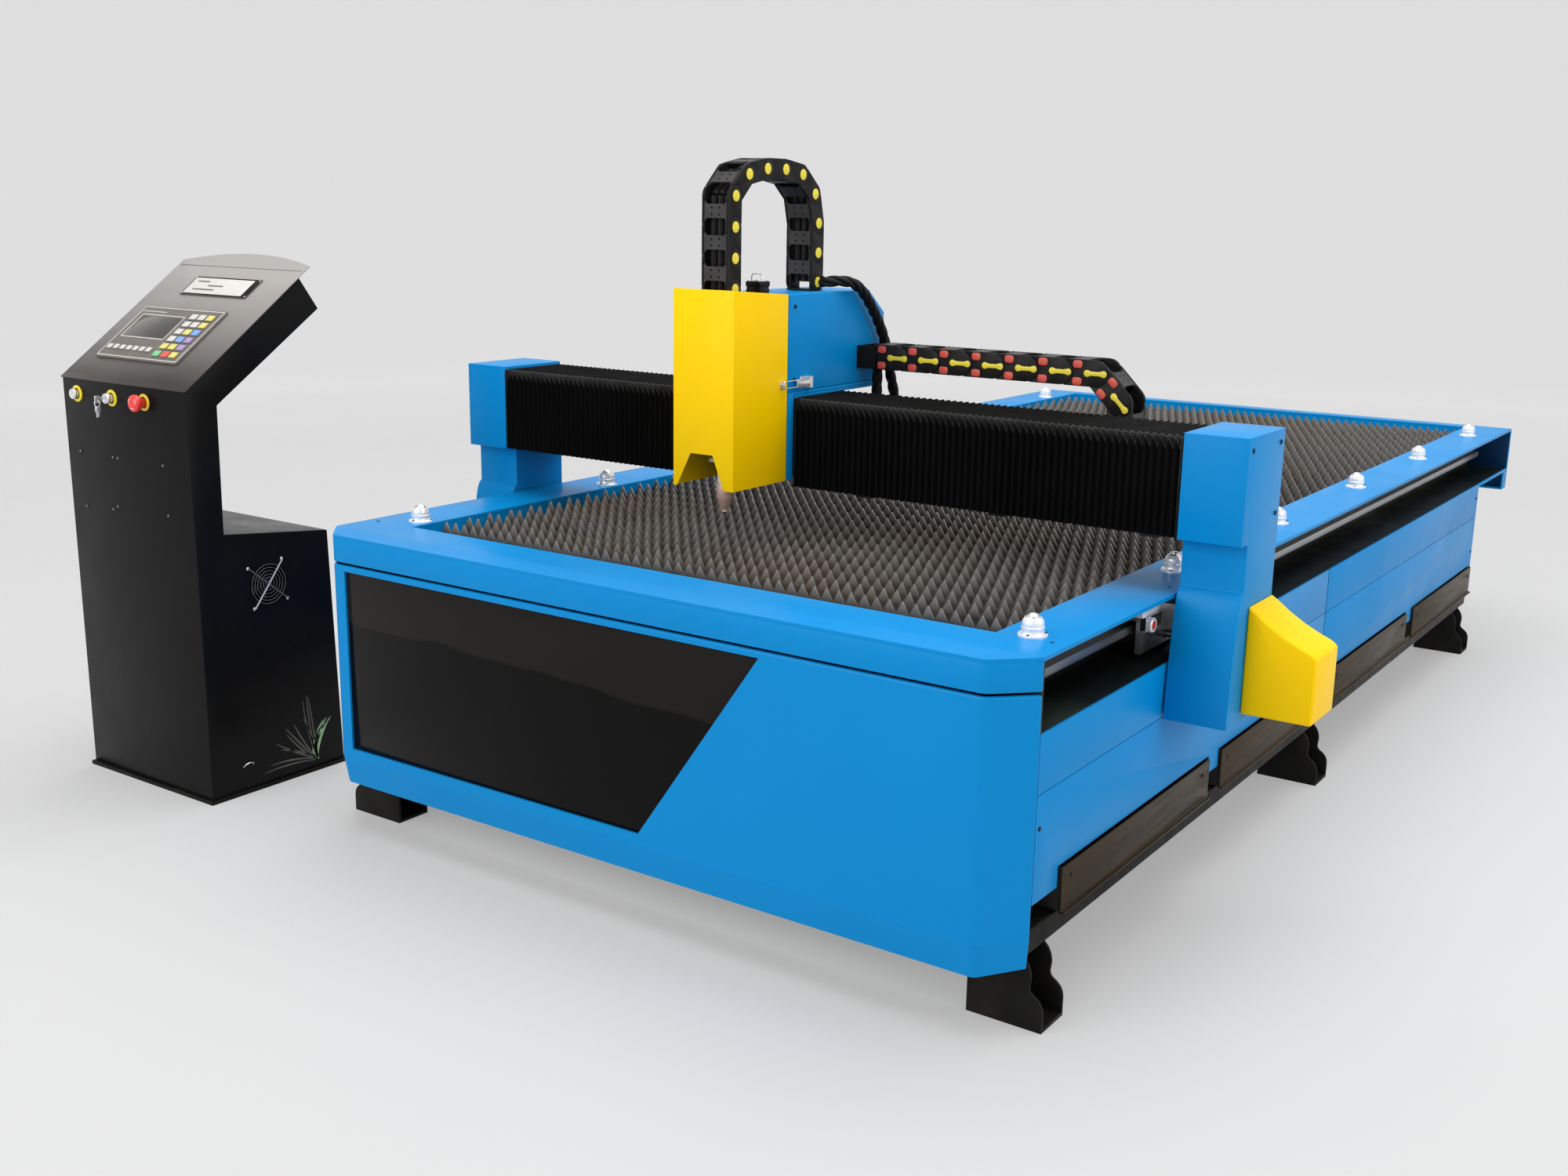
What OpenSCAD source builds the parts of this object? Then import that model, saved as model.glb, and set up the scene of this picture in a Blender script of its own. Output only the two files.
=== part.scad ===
// CNC plasma cutting table: slat bed with slag drawers, a gantry that runs
// along the bed, a torch head that runs across it, and a control console.
// X runs across the bed, Y along it (the operator's end is -Y), Z up.
// The origin is on the floor, under the middle of the six bolt-down feet.

/* [Table] */
// Width of the table over its side panels
table_w = 1783; // [1700:1:1900]
// Length of the table
table_l = 3780; // [3700:1:3900]
// Height of the deck above the floor
table_h = 705; // [680:1:740]
// Cut across each front corner
corner_cut = 71; // [50:1:80]
// Width of the slat bed opening
bed_w = 1500; // [1460:1:1520]
// Near edge of the slat bed opening
bed_y0 = -1720; // [-1730:1:-1700]
// Far edge of the slat bed opening
bed_y1 = 1831; // [1780:1:1840]
// Sheet steel thickness of the panels
sheet = 5; // [4:1:6]

/* [Slats] */
// Distance from one slat to the next
slat_pitch = 70; // [60:1:90]
// Thickness of a slat
slat_t = 4; // [3:0.5:6]
// Height of a slat to the tips of its teeth
slat_h = 100; // [80:1:110]

/* [Drawers] */
// Number of slag drawers along the right side
drawer_n = 4; // [3:1:4]
// Width of a drawer front
drawer_w = 731; // [600:1:735]
// Height of a drawer front
drawer_h = 88; // [70:1:88]
// Distance from one drawer to the next
drawer_pitch = 805; // [800:1:808]
// Depth of a drawer
drawer_d = 1560; // [1200:1:1600]

/* [Gantry] */
// Near face of the gantry end posts
post_y0 = -1262; // [-1264:1:-1260]
// Far face of the gantry end posts
post_y1 = -1056; // [-1058:1:-1054]
// Inner face of an end post
post_x0 = 896; // [894:1:900]
// Outer face of an end post
post_x1 = 1025; // [1015:1:1035]
// Underside of the end housing
housing_z0 = 818; // [810:1:824]
// Top of the end housing
housing_z1 = 1027; // [1024:1:1040]
// Bottom of the end post's skirt
skirt_z0 = 455; // [440:1:470]

/* [Torch head] */
// Left face of the head
head_x0 = -171; // [-173:1:-170]
// Right face of the head
head_x1 = -9; // [-10:1:-7]
// Front face of the yellow head cover
cover_y0 = -1486; // [-1490:1:-1484]
// Face of the head where the cover meets the carriage
head_y = -1285; // [-1286:1:-1284]
// Bottom of the head cover
cover_z0 = 837; // [830:1:842]
// Top of the head cover at its front edge
cover_z1 = 1261; // [1250:1:1270]
// Far end of the blue carriage housing
housing_y1 = -888; // [-890:1:-880]
// Top of the blue carriage housing
carriage_top = 1247; // [1240:1:1250]
// Radius of the torch body
torch_r = 17; // [14:0.5:18]

/* [Chains] */
// Link length of the chain behind the beam
x_link = 82; // [70:1:90]
// Height of that chain
x_chain_h = 60; // [50:1:60]
// Width of that chain
x_chain_w = 75; // [60:1:75]
// Bend radius of that chain at its middle line
x_bend_r = 100; // [96:1:112]
// Middle height of its upper run
x_chain_z = 1096; // [1094:1:1098]
// Place of its bend along the beam
x_bend_x = 549; // [540:1:620]
// Depth of a link of the chain over the torch head
z_chain_h = 45; // [40:1:45]
// Width of that chain
z_chain_w = 72; // [60:1:72]

/* [Console] */
// Left side of the console
con_x0 = -1694; // [-1700:1:-1690]
// Width of the console
con_w = 489; // [480:1:495]
// Front face of the console
con_y0 = -1973; // [-1976:1:-1970]
// Radius of the push button and its neighbours' stems
button_r = 11; // [10:0.5:12]

/* [Hidden] */
$fn = 40;

hw = table_w / 2;
hl = table_l / 2;
bx = bed_w / 2;
wall = 6;                       // inner walls of the bed
side_y0 = -hl + 75;             // near end of the side panels
side_y1 = 1455;                 // far end of the side panels
chan_z0 = 565;                  // floor of the side channels
feet_y = [-1742, -157, 1415];   // middle of each foot
foot_x = 834;
foot_w = 89;
unit_x = 812;
unit_left_x = -782;
unit_left_shift = 36;
unit_y = [-1700, -1043, -386, 271, 928, 1585];
slat_y0 = -1630;
slat_n = floor((bed_y1 - 50 - slat_y0) / slat_pitch) + 1;
drawer_y0 = -1704;
pinion_y = (post_y0 + post_y1) / 2 + 34;
rack_z = 610;                   // pitch line of the side racks
pinion_r = 18;                  // pitch radius of both pinions
pinion_z = rack_z - pinion_r;
beam_y0 = -1215;
beam_y1 = -1105;
beam_z0 = 838;
beam_z1 = 998;
head_x = (head_x0 + head_x1) / 2;
screw_x = -72;
screw_y = -1316;
torch_x = -98;
torch_y = -1396;
latch_x = head_x1 + 8.8;
latch_y = -1208;
latch_z = 1052;
tube = 50;

// the lengths above are counted from the table's middle; the origin is the feet's middle
foot_mid = (feet_y[0] + feet_y[2]) / 2;
module placed() translate([0, -foot_mid, 0]) children();
// a box from one corner to the opposite one
module block(a, b) translate(a) cube(b - a);
// the same thing on both sides of the table
module both_sides() { children(); mirror([1, 0, 0]) children(); }

// ---- table ----
module deck_outline(inset = 0) polygon([
    [-hw + inset, hl - inset], [hw - inset, hl - inset], [hw - inset, -hl + corner_cut],
    [hw - corner_cut, -hl + inset], [-hw + corner_cut, -hl + inset], [-hw + inset, -hl + corner_cut]]);

module bed_hole(grow = 0)
    translate([-bx - grow, bed_y0 - grow]) square([bed_w + 2 * grow, bed_y1 - bed_y0 + 2 * grow]);

// deck, front band, bed walls and the channels that hold the rails
module bed_frame() color([0.16, 0.6, 0.93]) {
    translate([0, 0, table_h - 8]) linear_extrude(8) difference() { deck_outline(); bed_hole(); }
    translate([0, 0, 553]) linear_extrude(table_h - 8 - 553)
        difference() { bed_hole(wall); bed_hole(); }
    translate([0, 0, table_h - 60]) linear_extrude(52) intersection() {
        difference() { deck_outline(); deck_outline(wall); }
        translate([-hw, -hl]) square([table_w, side_y0 + hl]);
    }
    both_sides() {
        block([bx + wall, side_y0, 557], [hw, hl - 12, chan_z0]);
        block([bx + wall, side_y0, chan_z0], [hw - 1, side_y0 + 6, table_h - 8]);
        block([bx + wall, -1700, 600], [bx + 40, 1800, 680]);
    }
}

// folded front panel with a slanted window and a lip that bends under
module front_panel() color([0.0, 0.53, 0.85]) {
    difference() {
        translate([0, 0, 0]) rotate([90, 0, 90]) translate([0, 0, -hw + corner_cut])
            linear_extrude(table_w - 2 * corner_cut) polygon([
                [-hl, table_h - 66], [-hl, 185], [-hl + 11, 120], [-hl + 16, 120],
                [-hl + 5, 186], [-hl + 5, table_h - 66]]);
        window_prism(-hl - 1, -hl + 20, 0);
    }
    both_sides() translate([0, 0, 136]) linear_extrude(table_h - 66 - 136) polygon([
        [hw - corner_cut, -hl], [hw, -hl + corner_cut], [hw, side_y0 - 1], [hw - sheet, side_y0 - 1],
        [hw - sheet, -hl + corner_cut + 2], [hw - corner_cut, -hl + sheet * 1.4]]);
}

module window_prism(y0, y1, grow) translate([0, y1, 0]) rotate([90, 0, 0])
    linear_extrude(y1 - y0) polygon([[-787 - grow, 625 + grow], [353 + grow * 1.6, 625 + grow],
        [61 + grow * 0.6, 208 - grow], [-787 - grow, 208 - grow]]);

// gloss black panel set back behind the window edge
module front_window() color([0.03, 0.03, 0.03]) window_prism(-hl + 5.4, -hl + 9, 12);

// side panels with a seam part-way along; those on the right are cut out over the drawers
module side_panel_pair() {
    block([hw - sheet, side_y0 + 2, 252], [hw, -191, 556]);
    block([hw - sheet, -185, 252], [hw, side_y1, 556]);
}
module side_panels() color([0.18, 0.52, 0.76]) {
    mirror([1, 0, 0]) side_panel_pair();
    difference() {
        side_panel_pair();
        for (i = [0 : drawer_n - 1]) block([hw - sheet - 1, drawer_y0 + i * drawer_pitch - 8, 200],
            [hw + 1, drawer_y0 + i * drawer_pitch + drawer_w + 8, 200 + drawer_h + 4]);
    }
}

// plate across the far end
module rear_cap() color([0.16, 0.5, 0.78]) {
    block([-hw, hl - 11, 496], [hw, hl, table_h - 9]);
    block([-hw, hl - 60, 496], [hw, hl - 11, 502]);
    both_sides() block([hw - sheet, hl - 60, 502], [hw, hl - 11, 556]);
}

// welded frame under the panels: long tubes, cross tubes, posts and runners
module base_frame() color([0.06, 0.06, 0.06]) {
    both_sides() {
        block([800, -1812, 150], [882, 1480, 196]);
        for (y = [-1790, -948, -143, 662, 1460])
            block([812, y - 20, 196], [862, y + 20, 557]);
    }
    for (y = [-1790, -948, -143, 662, 1460]) block([-800, y - 20, 150], [800, y + 20, 190]);
    for (y = [-1790, -948, -143, 662, 1460]) if (abs(y) < 1400)
        block([-800, y - 30, 190], [800, y + 30, 196]);
    for (y = [-1790, 1460]) block([-812, y - 20, 520], [812, y + 20, 552]);
}

// bolt-down foot: two S-shaped cheeks on a floor plate
module foot_cheek() rotate([90, 0, 0]) translate([0, 0, -3]) linear_extrude(6) difference() {
    union() {
        polygon([[-76, 0], [77, 0], [77, 44], [60, 66], [48, 84], [48, 121], [22, 150], [-76, 150]]);
        translate([22, 121]) circle(29);
    }
    translate([78, 74]) circle(27);
}
module feet() color([0.05, 0.05, 0.05]) both_sides() for (y = feet_y)
    translate([foot_x, y, 0]) {
        for (s = [-1, 1]) translate([0, s * (foot_w / 2 - 3), 0]) foot_cheek();
        difference() {
            block([-76, -foot_w / 2 + 6, 0], [77, foot_w / 2 - 6, 8]);
            translate([0, 0, -1]) cylinder(r = 9, h = 10);
        }
        block([-34, -foot_w / 2 + 6, 142], [24, foot_w / 2 - 6, 150]);
    }

// ball transfer units along both sides of the deck
module at_units(z) for (y = unit_y) {
    translate([unit_x, y, z]) children();
    translate([unit_left_x, y + unit_left_shift, z]) children();
}
module ball_unit_housings() color([0.85, 0.86, 0.88]) at_units(table_h) difference() {
        union() {
            cylinder(r = 27, h = 5);
            cylinder(r = 20, h = 26);
            translate([0, 0, 26]) cylinder(r1 = 20, r2 = 15, h = 8);
        }
        translate([0, 0, 27]) sphere(r = 15.6);
    }
module transfer_balls() color([0.9, 0.9, 0.9]) at_units(table_h + 27) sphere(r = 15);

// slats: flat bars up to the tips of their teeth
module slats() color([0.35, 0.31, 0.28]) for (i = [0 : slat_n - 1])
    block([-bx + 3, slat_y0 + i * slat_pitch, table_h - slat_h],
        [bx - 3, slat_y0 + i * slat_pitch + slat_t, table_h]);

// bars along the bed that carry the slats
module slat_combs() color([0.2, 0.2, 0.22]) for (x = [-bx + 25, -bx / 2, 0, bx / 2, bx - 25])
    block([x - 4, bed_y0 + 1, 560], [x + 4, bed_y1 - 1, table_h - slat_h]);

// sloped plates that lead slag into the drawers
module slag_chutes() color([0.1, 0.1, 0.11]) both_sides()
    translate([0, side_y0 + 60, 0]) rotate([90, 0, 180]) mirror([1, 0, 0]) linear_extrude(3100)
        polygon([[bx + 2, 548], [bx + 5, 551], [bx + 5, 546], [640, 300], [636, 300]]);

// rails and racks in the side channels
module y_rails() color([0.7, 0.71, 0.72]) both_sides()
    block([bx + 40, -1690, 652], [bx + 58, 1790, 672]);
module y_racks() color([0.5, 0.5, 0.5]) both_sides() {
    block([bx + 40, -1680, rack_z + 2.5], [bx + 62, 1780, rack_z + 20]);
}

// a slag drawer: an open steel tray with a folded front
module slag_drawer(i) color([0.27, 0.21, 0.11]) {
    y = drawer_y0 + i * drawer_pitch;
    difference() {
        block([hw + 2 - drawer_d, y + 4, 202], [hw + 2, y + drawer_w - 4, 200 + drawer_h]);
        block([hw + 5 - drawer_d, y + 7, 205], [hw - 1, y + drawer_w - 7, 300]);
    }
    block([hw + 2, y, 199], [hw + 6, y + drawer_w, 200 + drawer_h]);
    block([hw + 6, y, 199], [hw + 14, y + drawer_w, 203]);
}
module slag_drawer_1() slag_drawer(0);
module slag_drawer_2() slag_drawer(1);
module slag_drawer_3() slag_drawer(2);
module slag_drawer_4() slag_drawer(3);

// ---- console ----
con_x1 = con_x0 + con_w;
head_a = atan2(248, 336);       // slope of the console's top
module console_profile() polygon([[-1973, 10], [con_y0, 999], [-1637, 1247], [-1584, 1171],
    [-1890, 961], [-1894, 655], [-1591, 620], [-1573, 10]]);
module console_inner() polygon([[-1970, 13], [con_y0 + 3, 997], [-1638, 1243], [-1588, 1172],
    [-1893, 963], [-1897, 652], [-1594, 617], [-1576, 13]]);
module console_shell() color([0.03, 0.03, 0.03]) difference() {
    rotate([90, 0, 90]) translate([0, 0, con_x0]) linear_extrude(con_w) console_profile();
    rotate([90, 0, 90]) translate([0, 0, con_x0 + 3]) linear_extrude(con_w - 6) console_inner();
    for (x = [-1634, -1492, -1364]) translate([x, con_y0 + 4, 963]) rotate([90, 0, 0])
        cylinder(r = button_r + 1, h = 6);
    translate([con_x1 - 4, -1779, 515]) rotate([0, 90, 0]) cylinder(r = 52, h = 6);
    for (x = [con_x0 + 120, con_x1 - 120]) translate([x, -1740, 9]) cylinder(r = 16, h = 6);
}
module console_base() color([0.04, 0.04, 0.04]) difference() {
    block([con_x0 - 6, con_y0 - 8, 0], [con_x1 + 6, -1555, 10]);
    for (x = [con_x0 + 120, con_x1 - 120]) translate([x, -1740, -1]) cylinder(r = 16, h = 12);
}
// everything on the slanted top: x across from the left edge, y up the slope
module on_slope() translate([con_x0, con_y0, 999]) rotate([head_a, 0, 0]) children();
module console_top() color([0.16, 0.15, 0.14]) on_slope() translate([0, 0, 0.2]) linear_extrude(3)
    intersection() {
        translate([-3, -2]) square([con_w + 6, 510]);
        translate([con_w / 2, 493 - 900]) circle(r = 900, $fn = 240);
    }
module controller_panel() color([0.25, 0.24, 0.23]) on_slope() {
    translate([56, 76, 3.4]) cube([322, 192, 8]);
    translate([125, 323, 3.4]) cube([258, 71, 2.5]);
    for (i = [0 : 5], j = [0 : 2]) translate([268 + j * 32, 92 + i * 27, 11.4])
        cube([26, 19, 1.6]);
    for (i = [0 : 6]) translate([72 + i * 26, 104, 11.4]) cube([20, 16, 1.6]);
}
module fan_guard() color([0.75, 0.75, 0.75]) translate([con_x1, -1779, 515]) rotate([0, 90, 0]) {
    for (r = [16, 30, 44, 58]) rotate_extrude() translate([r, 6]) circle(r = 1.6, $fn = 16);
    for (a = [45, 135]) rotate([0, 0, a]) translate([-70, -1.6, 2.8]) cube([140, 3.2, 1.8]);
    for (a = [45, 135, 225, 315]) rotate([0, 0, a]) translate([68, 0, 0]) cylinder(r = 5, h = 3);
}
module fan_rotor() color([0.1, 0.1, 0.1]) translate([con_x1 - 14, -1779, 515]) rotate([0, 90, 0]) {
    translate([0, 0, -9]) cylinder(r = 19, h = 18);
    for (a = [0 : 60 : 300]) rotate([0, 0, a]) translate([17, -7, -7]) rotate([32, 0, 0])
        cube([31, 14, 2.4]);
}
module on_front(x) translate([x, con_y0, 963]) rotate([90, 0, 0]) children();
module button_collars() color([0.95, 0.8, 0.05]) for (x = [-1634, -1492, -1364]) on_front(x)
    difference() {
        cylinder(r = 20, h = 4);
        translate([0, 0, -1]) cylinder(r = button_r + 2, h = 6);
    }
module start_button() color([0.85, 0.85, 0.86]) on_front(-1634) {
    translate([0, 0, -14]) cylinder(r = button_r - 1, h = 24);
    translate([0, 0, 10]) cylinder(r = button_r + 2, h = 6);
}
module key_switch() color([0.8, 0.8, 0.8]) on_front(-1492) {
    translate([0, 0, -14]) cylinder(r = button_r - 1, h = 26);
    translate([0, 0, 12]) cylinder(r1 = button_r + 2, r2 = button_r, h = 8);
    translate([-1, -5, 20]) cube([2, 10, 16]);
    translate([-1, -9, 34]) cube([2, 18, 14]);
    translate([0, -9, 41]) rotate([0, 90, 0]) rotate([0, 0, 90]) difference() {
        translate([-5, -36, -3]) cube([10, 38, 2]);
        translate([0, -4, -4]) cylinder(r = 2.5, h = 4);
    }
}
module estop_button() color([0.85, 0.06, 0.06]) on_front(-1364) {
    translate([0, 0, -14]) cylinder(r = button_r - 1, h = 28);
    translate([0, 0, 14]) cylinder(r1 = 14, r2 = 20, h = 6);
    translate([0, 0, 20]) cylinder(r = 20, h = 9);
    translate([0, 0, 29]) cylinder(r1 = 20, r2 = 16, h = 4);
}

// ---- gantry ----
module gantry_beam() color([0.12, 0.12, 0.13]) difference() {
    block([-post_x0, beam_y0, beam_z0], [post_x0, beam_y1, beam_z1]);
    block([-post_x0 - 1, beam_y0 + 6, beam_z0 + 6], [post_x0 + 1, beam_y1 - 6, beam_z1 - 6]);
}
// side outline of an end post: housing, recessed neck and a skirt that flares forward
module post_profile(t = 0) polygon([
    [post_y0 + t, housing_z1 - t], [post_y1 - t, housing_z1 - t], [post_y1 - t, skirt_z0 + t],
    [post_y0 - 5 + t, skirt_z0 + t], [post_y0 + t, 540], [post_y0 + 7 + t, 610],
    [post_y0 + 16 + t, 670], [post_y0 + 25 + t, 706], [post_y0 + 35 + t, 722],
    [post_y0 + 35 + t, housing_z0 + t], [post_y0 + t, housing_z0 + t]]);
module end_posts() color([0.0, 0.53, 0.85]) both_sides() difference() {
    rotate([90, 0, 90]) translate([0, 0, post_x0]) linear_extrude(post_x1 - post_x0)
        post_profile();
    rotate([90, 0, 90]) translate([0, 0, post_x0 + 4]) linear_extrude(post_x1 - post_x0 - 8)
        post_profile(4);
    translate([post_x0 - 1, pinion_y, pinion_z]) rotate([0, 90, 0]) cylinder(r = 30, h = 200);
}
// plates that tie the posts to the rail blocks inside the channels
module y_trucks() color([0.45, 0.46, 0.47]) both_sides() {
    difference() {
        union() {
            block([824, post_y0 + 4, 574], [836, post_y1 - 4, 690]);
            block([836, post_y0 + 40, 625], [post_x0, post_y1 - 4, 680]);
        }
        translate([820, pinion_y, pinion_z]) rotate([0, 90, 0]) cylinder(r = 12, h = 30);
    }
    for (y = [post_y0 + 8, post_y1 - 68]) difference() {
        block([797, y, 640], [824, y + 60, 686]);
        block([790, y - 1, 651.5], [bx + 58.5, y + 61, 672.5]);
    }
}
module y_motors() color([0.07, 0.07, 0.08]) both_sides() {
    difference() {
        block([post_x1, pinion_y - 42, pinion_z - 42], [post_x1 + 12, pinion_y + 42, pinion_z + 42]);
        translate([post_x1 - 1, pinion_y, pinion_z]) rotate([0, 90, 0]) cylinder(r = 12, h = 20);
    }
    difference() {
        block([post_x1 + 12, pinion_y - 34, pinion_z - 34], [post_x1 + 92, pinion_y + 34, pinion_z + 34]);
        translate([post_x1 + 11, pinion_y, pinion_z]) rotate([0, 90, 0]) cylinder(r = 12, h = 30);
    }
}
// sheet cover over each motor: a box with a sloping top
module cover_outline(t) polygon([[post_x1 - 1, 472 + t], [post_x1 + 141 - t, 472 + t],
    [post_x1 + 141 - t, 604 - t], [post_x1 + 126 - t, 617 - t], [post_x1, 691 - t * 1.3],
    [post_x1 - 1, 691 - t * 1.3]]);
module motor_covers() color([1.0, 0.82, 0.0]) both_sides() difference() {
    translate([0, -1055, 0]) rotate([90, 0, 0]) linear_extrude(139) cover_outline(0);
    translate([0, -1058, 0]) rotate([90, 0, 0]) linear_extrude(133) cover_outline(3);
    block([post_x1 - 2, -1300, 400], [post_x1, -1000, 800]);
}
// both side pinions turn on one axis across the table
module y_pinions() color([0.6, 0.6, 0.6]) both_sides() translate([0, pinion_y, pinion_z])
    rotate([0, 90, 0]) {
        translate([0, 0, 793]) cylinder(r = pinion_r + 2, h = 20);
        translate([0, 0, 813]) cylinder(r = 8, h = post_x1 + 32 - 813);
    }
module x_rails() color([0.7, 0.71, 0.72]) for (z = [850, 966])
    block([-post_x0 + 4, beam_y0 - 20, z], [post_x0 - 4, beam_y0, z + 20]);
module x_rack() color([0.5, 0.5, 0.5])
    block([-post_x0 + 4, beam_y1, 972], [post_x0 - 4, beam_y1 + 16.5, 992]);

// bellows: folded covers over the front, top and back of the beam
module bellows_profile() polygon([
    [post_y0, 820], [post_y0, 1020], [post_y1, 1020], [post_y1, 820],
    [post_y1 - 14, 820], [post_y1 - 14, 1006], [post_y0 + 14, 1006], [post_y0 + 14, 820]]);
module bellows(x0, x1) color([0.03, 0.03, 0.03]) rotate([90, 0, 90]) translate([0, 0, x0])
    linear_extrude(x1 - x0) bellows_profile();
module bellows_left() bellows(-post_x0 + 1, head_x0 - 1);
module bellows_right() bellows(head_x1 + 1, post_x0 - 1);

// tray that carries the lower run of the chain, on arms under the beam
chain_y0 = -1000;
chain_y1 = chain_y0 + x_chain_w;
low_z = x_chain_z - 2 * x_bend_r;       // middle of the lower run
tray_z = low_z - x_chain_h / 2 - 1;
module chain_tray() color([0.13, 0.13, 0.14]) {
    difference() {
        block([80, chain_y0 - 10, tray_z - 4], [post_x0 - 6, chain_y1 + 10, tray_z + 46]);
        block([70, chain_y0 - 7, tray_z], [post_x0, chain_y1 + 7, tray_z + 60]);
    }
    for (x = [150, 480, 820]) {
        block([x - 20, beam_y0, 806], [x + 20, chain_y1 + 10, 814]);
        block([x - 20, beam_y0, 814], [x + 20, beam_y1, beam_z0]);
        block([x - 20, chain_y0 - 10, 814], [x + 20, chain_y1 + 10, tray_z - 4]);
    }
}
module x_chain_lower() color([0.08, 0.08, 0.08])
    block([100, chain_y0, low_z - x_chain_h / 2], [x_bend_x, chain_y1, low_z + x_chain_h / 2]);
module x_quarter(up) translate([x_bend_x, chain_y1, x_chain_z - x_bend_r]) rotate([90, 0, 0])
    intersection() {
        rotate_extrude($fn = 72) translate([x_bend_r - x_chain_h / 2, 0])
            square([x_chain_h, x_chain_w]);
        translate([0, up ? 0.2 : -200.2, -1]) cube([200, 200, 200]);
    }
module x_chain_bend_lower() color([0.08, 0.08, 0.08]) x_quarter(false);
module x_chain_bend_upper() color([0.08, 0.08, 0.08]) x_quarter(true);
module x_chain_upper() color([0.08, 0.08, 0.08])
    block([40, chain_y0, x_chain_z - x_chain_h / 2], [x_bend_x, chain_y1, x_chain_z + x_chain_h / 2]);

// ---- carriage ----
module x_chain_bracket() color([0.05, 0.05, 0.05]) {
    block([head_x1, chain_y0 - 5, 1068], [40, chain_y0 - 1, 1120]);
    block([head_x1, chain_y0 - 1, 1068], [head_x1 + 4, chain_y1, 1120]);
    block([head_x1, chain_y1 - 4, 1068], [40, chain_y1, 1120]);
}
// the carriage's front plate and the shelf that crosses over the beam
module carriage_saddle() color([0.0, 0.5, 0.8]) {
    block([head_x0, head_y, 836], [head_x1, post_y0, 1033]);
    difference() {
        block([head_x0, post_y0, 1025], [head_x1, housing_y1, 1033]);
        translate([head_x, beam_y1 + 19 + pinion_r, 1020]) cylinder(r = 12, h = 20);
    }
}
module carriage_housing() color([0.08, 0.47, 0.76]) {
    difference() {
        rotate([90, 0, 90]) translate([0, 0, head_x0]) linear_extrude(head_x1 - head_x0) polygon([
            [head_y, 1033], [head_y, carriage_top], [housing_y1 - 70, carriage_top],
            [housing_y1, carriage_top - 55], [housing_y1, 1033]]);
        rotate([90, 0, 90]) translate([0, 0, head_x0 + 3]) linear_extrude(head_x1 - head_x0 - 6)
            polygon([[head_y - 1, 1030], [head_y - 1, carriage_top - 3],
                [housing_y1 - 71, carriage_top - 3], [housing_y1 - 3, carriage_top - 57],
                [housing_y1 - 3, 1030]]);
    }
}
// plate with two lugs and the pin that the cover's latch turns on
module latch_base() color([0.78, 0.78, 0.78]) {
    block([head_x1, latch_y - 34, latch_z - 13], [head_x1 + 3, latch_y + 8, latch_z + 13]);
    for (z = [latch_z - 13, latch_z + 10.4])
        block([head_x1 + 3, latch_y - 5, z], [latch_x + 4, latch_y + 5, z + 2.6]);
    translate([latch_x, latch_y, latch_z - 12]) cylinder(r = 2.45, h = 24);
}
module x_bearing_blocks() color([0.55, 0.56, 0.57]) for (x = [head_x0 + 8, head_x1 - 68], z = [850, 966])
    difference() {
        block([x, post_y0, z - 10], [x + 60, beam_y0 - 6, z + 30]);
        block([x - 1, beam_y0 - 20.5, z - 0.5], [x + 61, beam_y0, z + 20.5]);
    }
module x_motor() color([0.07, 0.07, 0.08]) translate([head_x, beam_y1 + 19 + pinion_r, 1033])
    difference() {
        union() {
            block([-38, -38, 0], [38, 38, 70]);
            block([-30, -30, 70], [30, 30, 110]);
        }
        translate([0, 0, -1]) cylinder(r = 12, h = 34);
    }
module x_pinion() color([0.6, 0.6, 0.6]) translate([head_x, beam_y1 + 19 + pinion_r, 0]) {
    translate([0, 0, 974]) cylinder(r = pinion_r + 1.8, h = 16);
    translate([0, 0, 990]) cylinder(r = 8, h = 70);
}
module z_rails() color([0.7, 0.71, 0.72]) for (x = [-158, -34])
    block([x, head_y - 12, 862], [x + 12, head_y, 1190]);
module z_motor() color([0.06, 0.06, 0.07]) {
    difference() {
        block([screw_x - 28, screw_y - 28, 1195], [screw_x + 28, screw_y + 28, 1274]);
        translate([screw_x, screw_y, 1190]) cylinder(r = 9, h = 20);
    }
    block([screw_x - 28, screw_y + 28, 1195], [screw_x + 28, head_y, 1201]);
    translate([screw_x, screw_y, 1274]) rotate([90, 0, 0]) rotate_extrude(angle = 180)
        translate([16, 0]) circle(r = 2, $fn = 16);
}
module z_screw() color([0.75, 0.75, 0.76]) translate([screw_x, screw_y, 0]) {
    translate([0, 0, 880]) cylinder(r = 8, h = 322);
    translate([0, 0, 872]) cylinder(r = 10, h = 8);
}
// yellow cover: front and two sides, with a notch over the torch
module head_cover() color([1.0, 0.84, 0.0]) {
    translate([0, cover_y0 + 3, 0]) rotate([90, 0, 0]) linear_extrude(3) polygon([
        [head_x0, cover_z0], [head_x0, cover_z1], [head_x1, cover_z1], [head_x1, cover_z0],
        [-34, cover_z0], [-65, 911], [-124, 911], [-161, cover_z0]]);
    for (x = [head_x0, head_x1 - 3]) rotate([90, 0, 90]) translate([0, 0, x]) linear_extrude(3)
        polygon([[cover_y0 + 3, cover_z0], [head_y - 3, cover_z0], [head_y - 3, cover_z1 - 14],
            [cover_y0 + 3, cover_z1]]);
    block([head_x1, -1318, latch_z - 8], [head_x1 + 3, -1300, latch_z + 8]);
}
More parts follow.
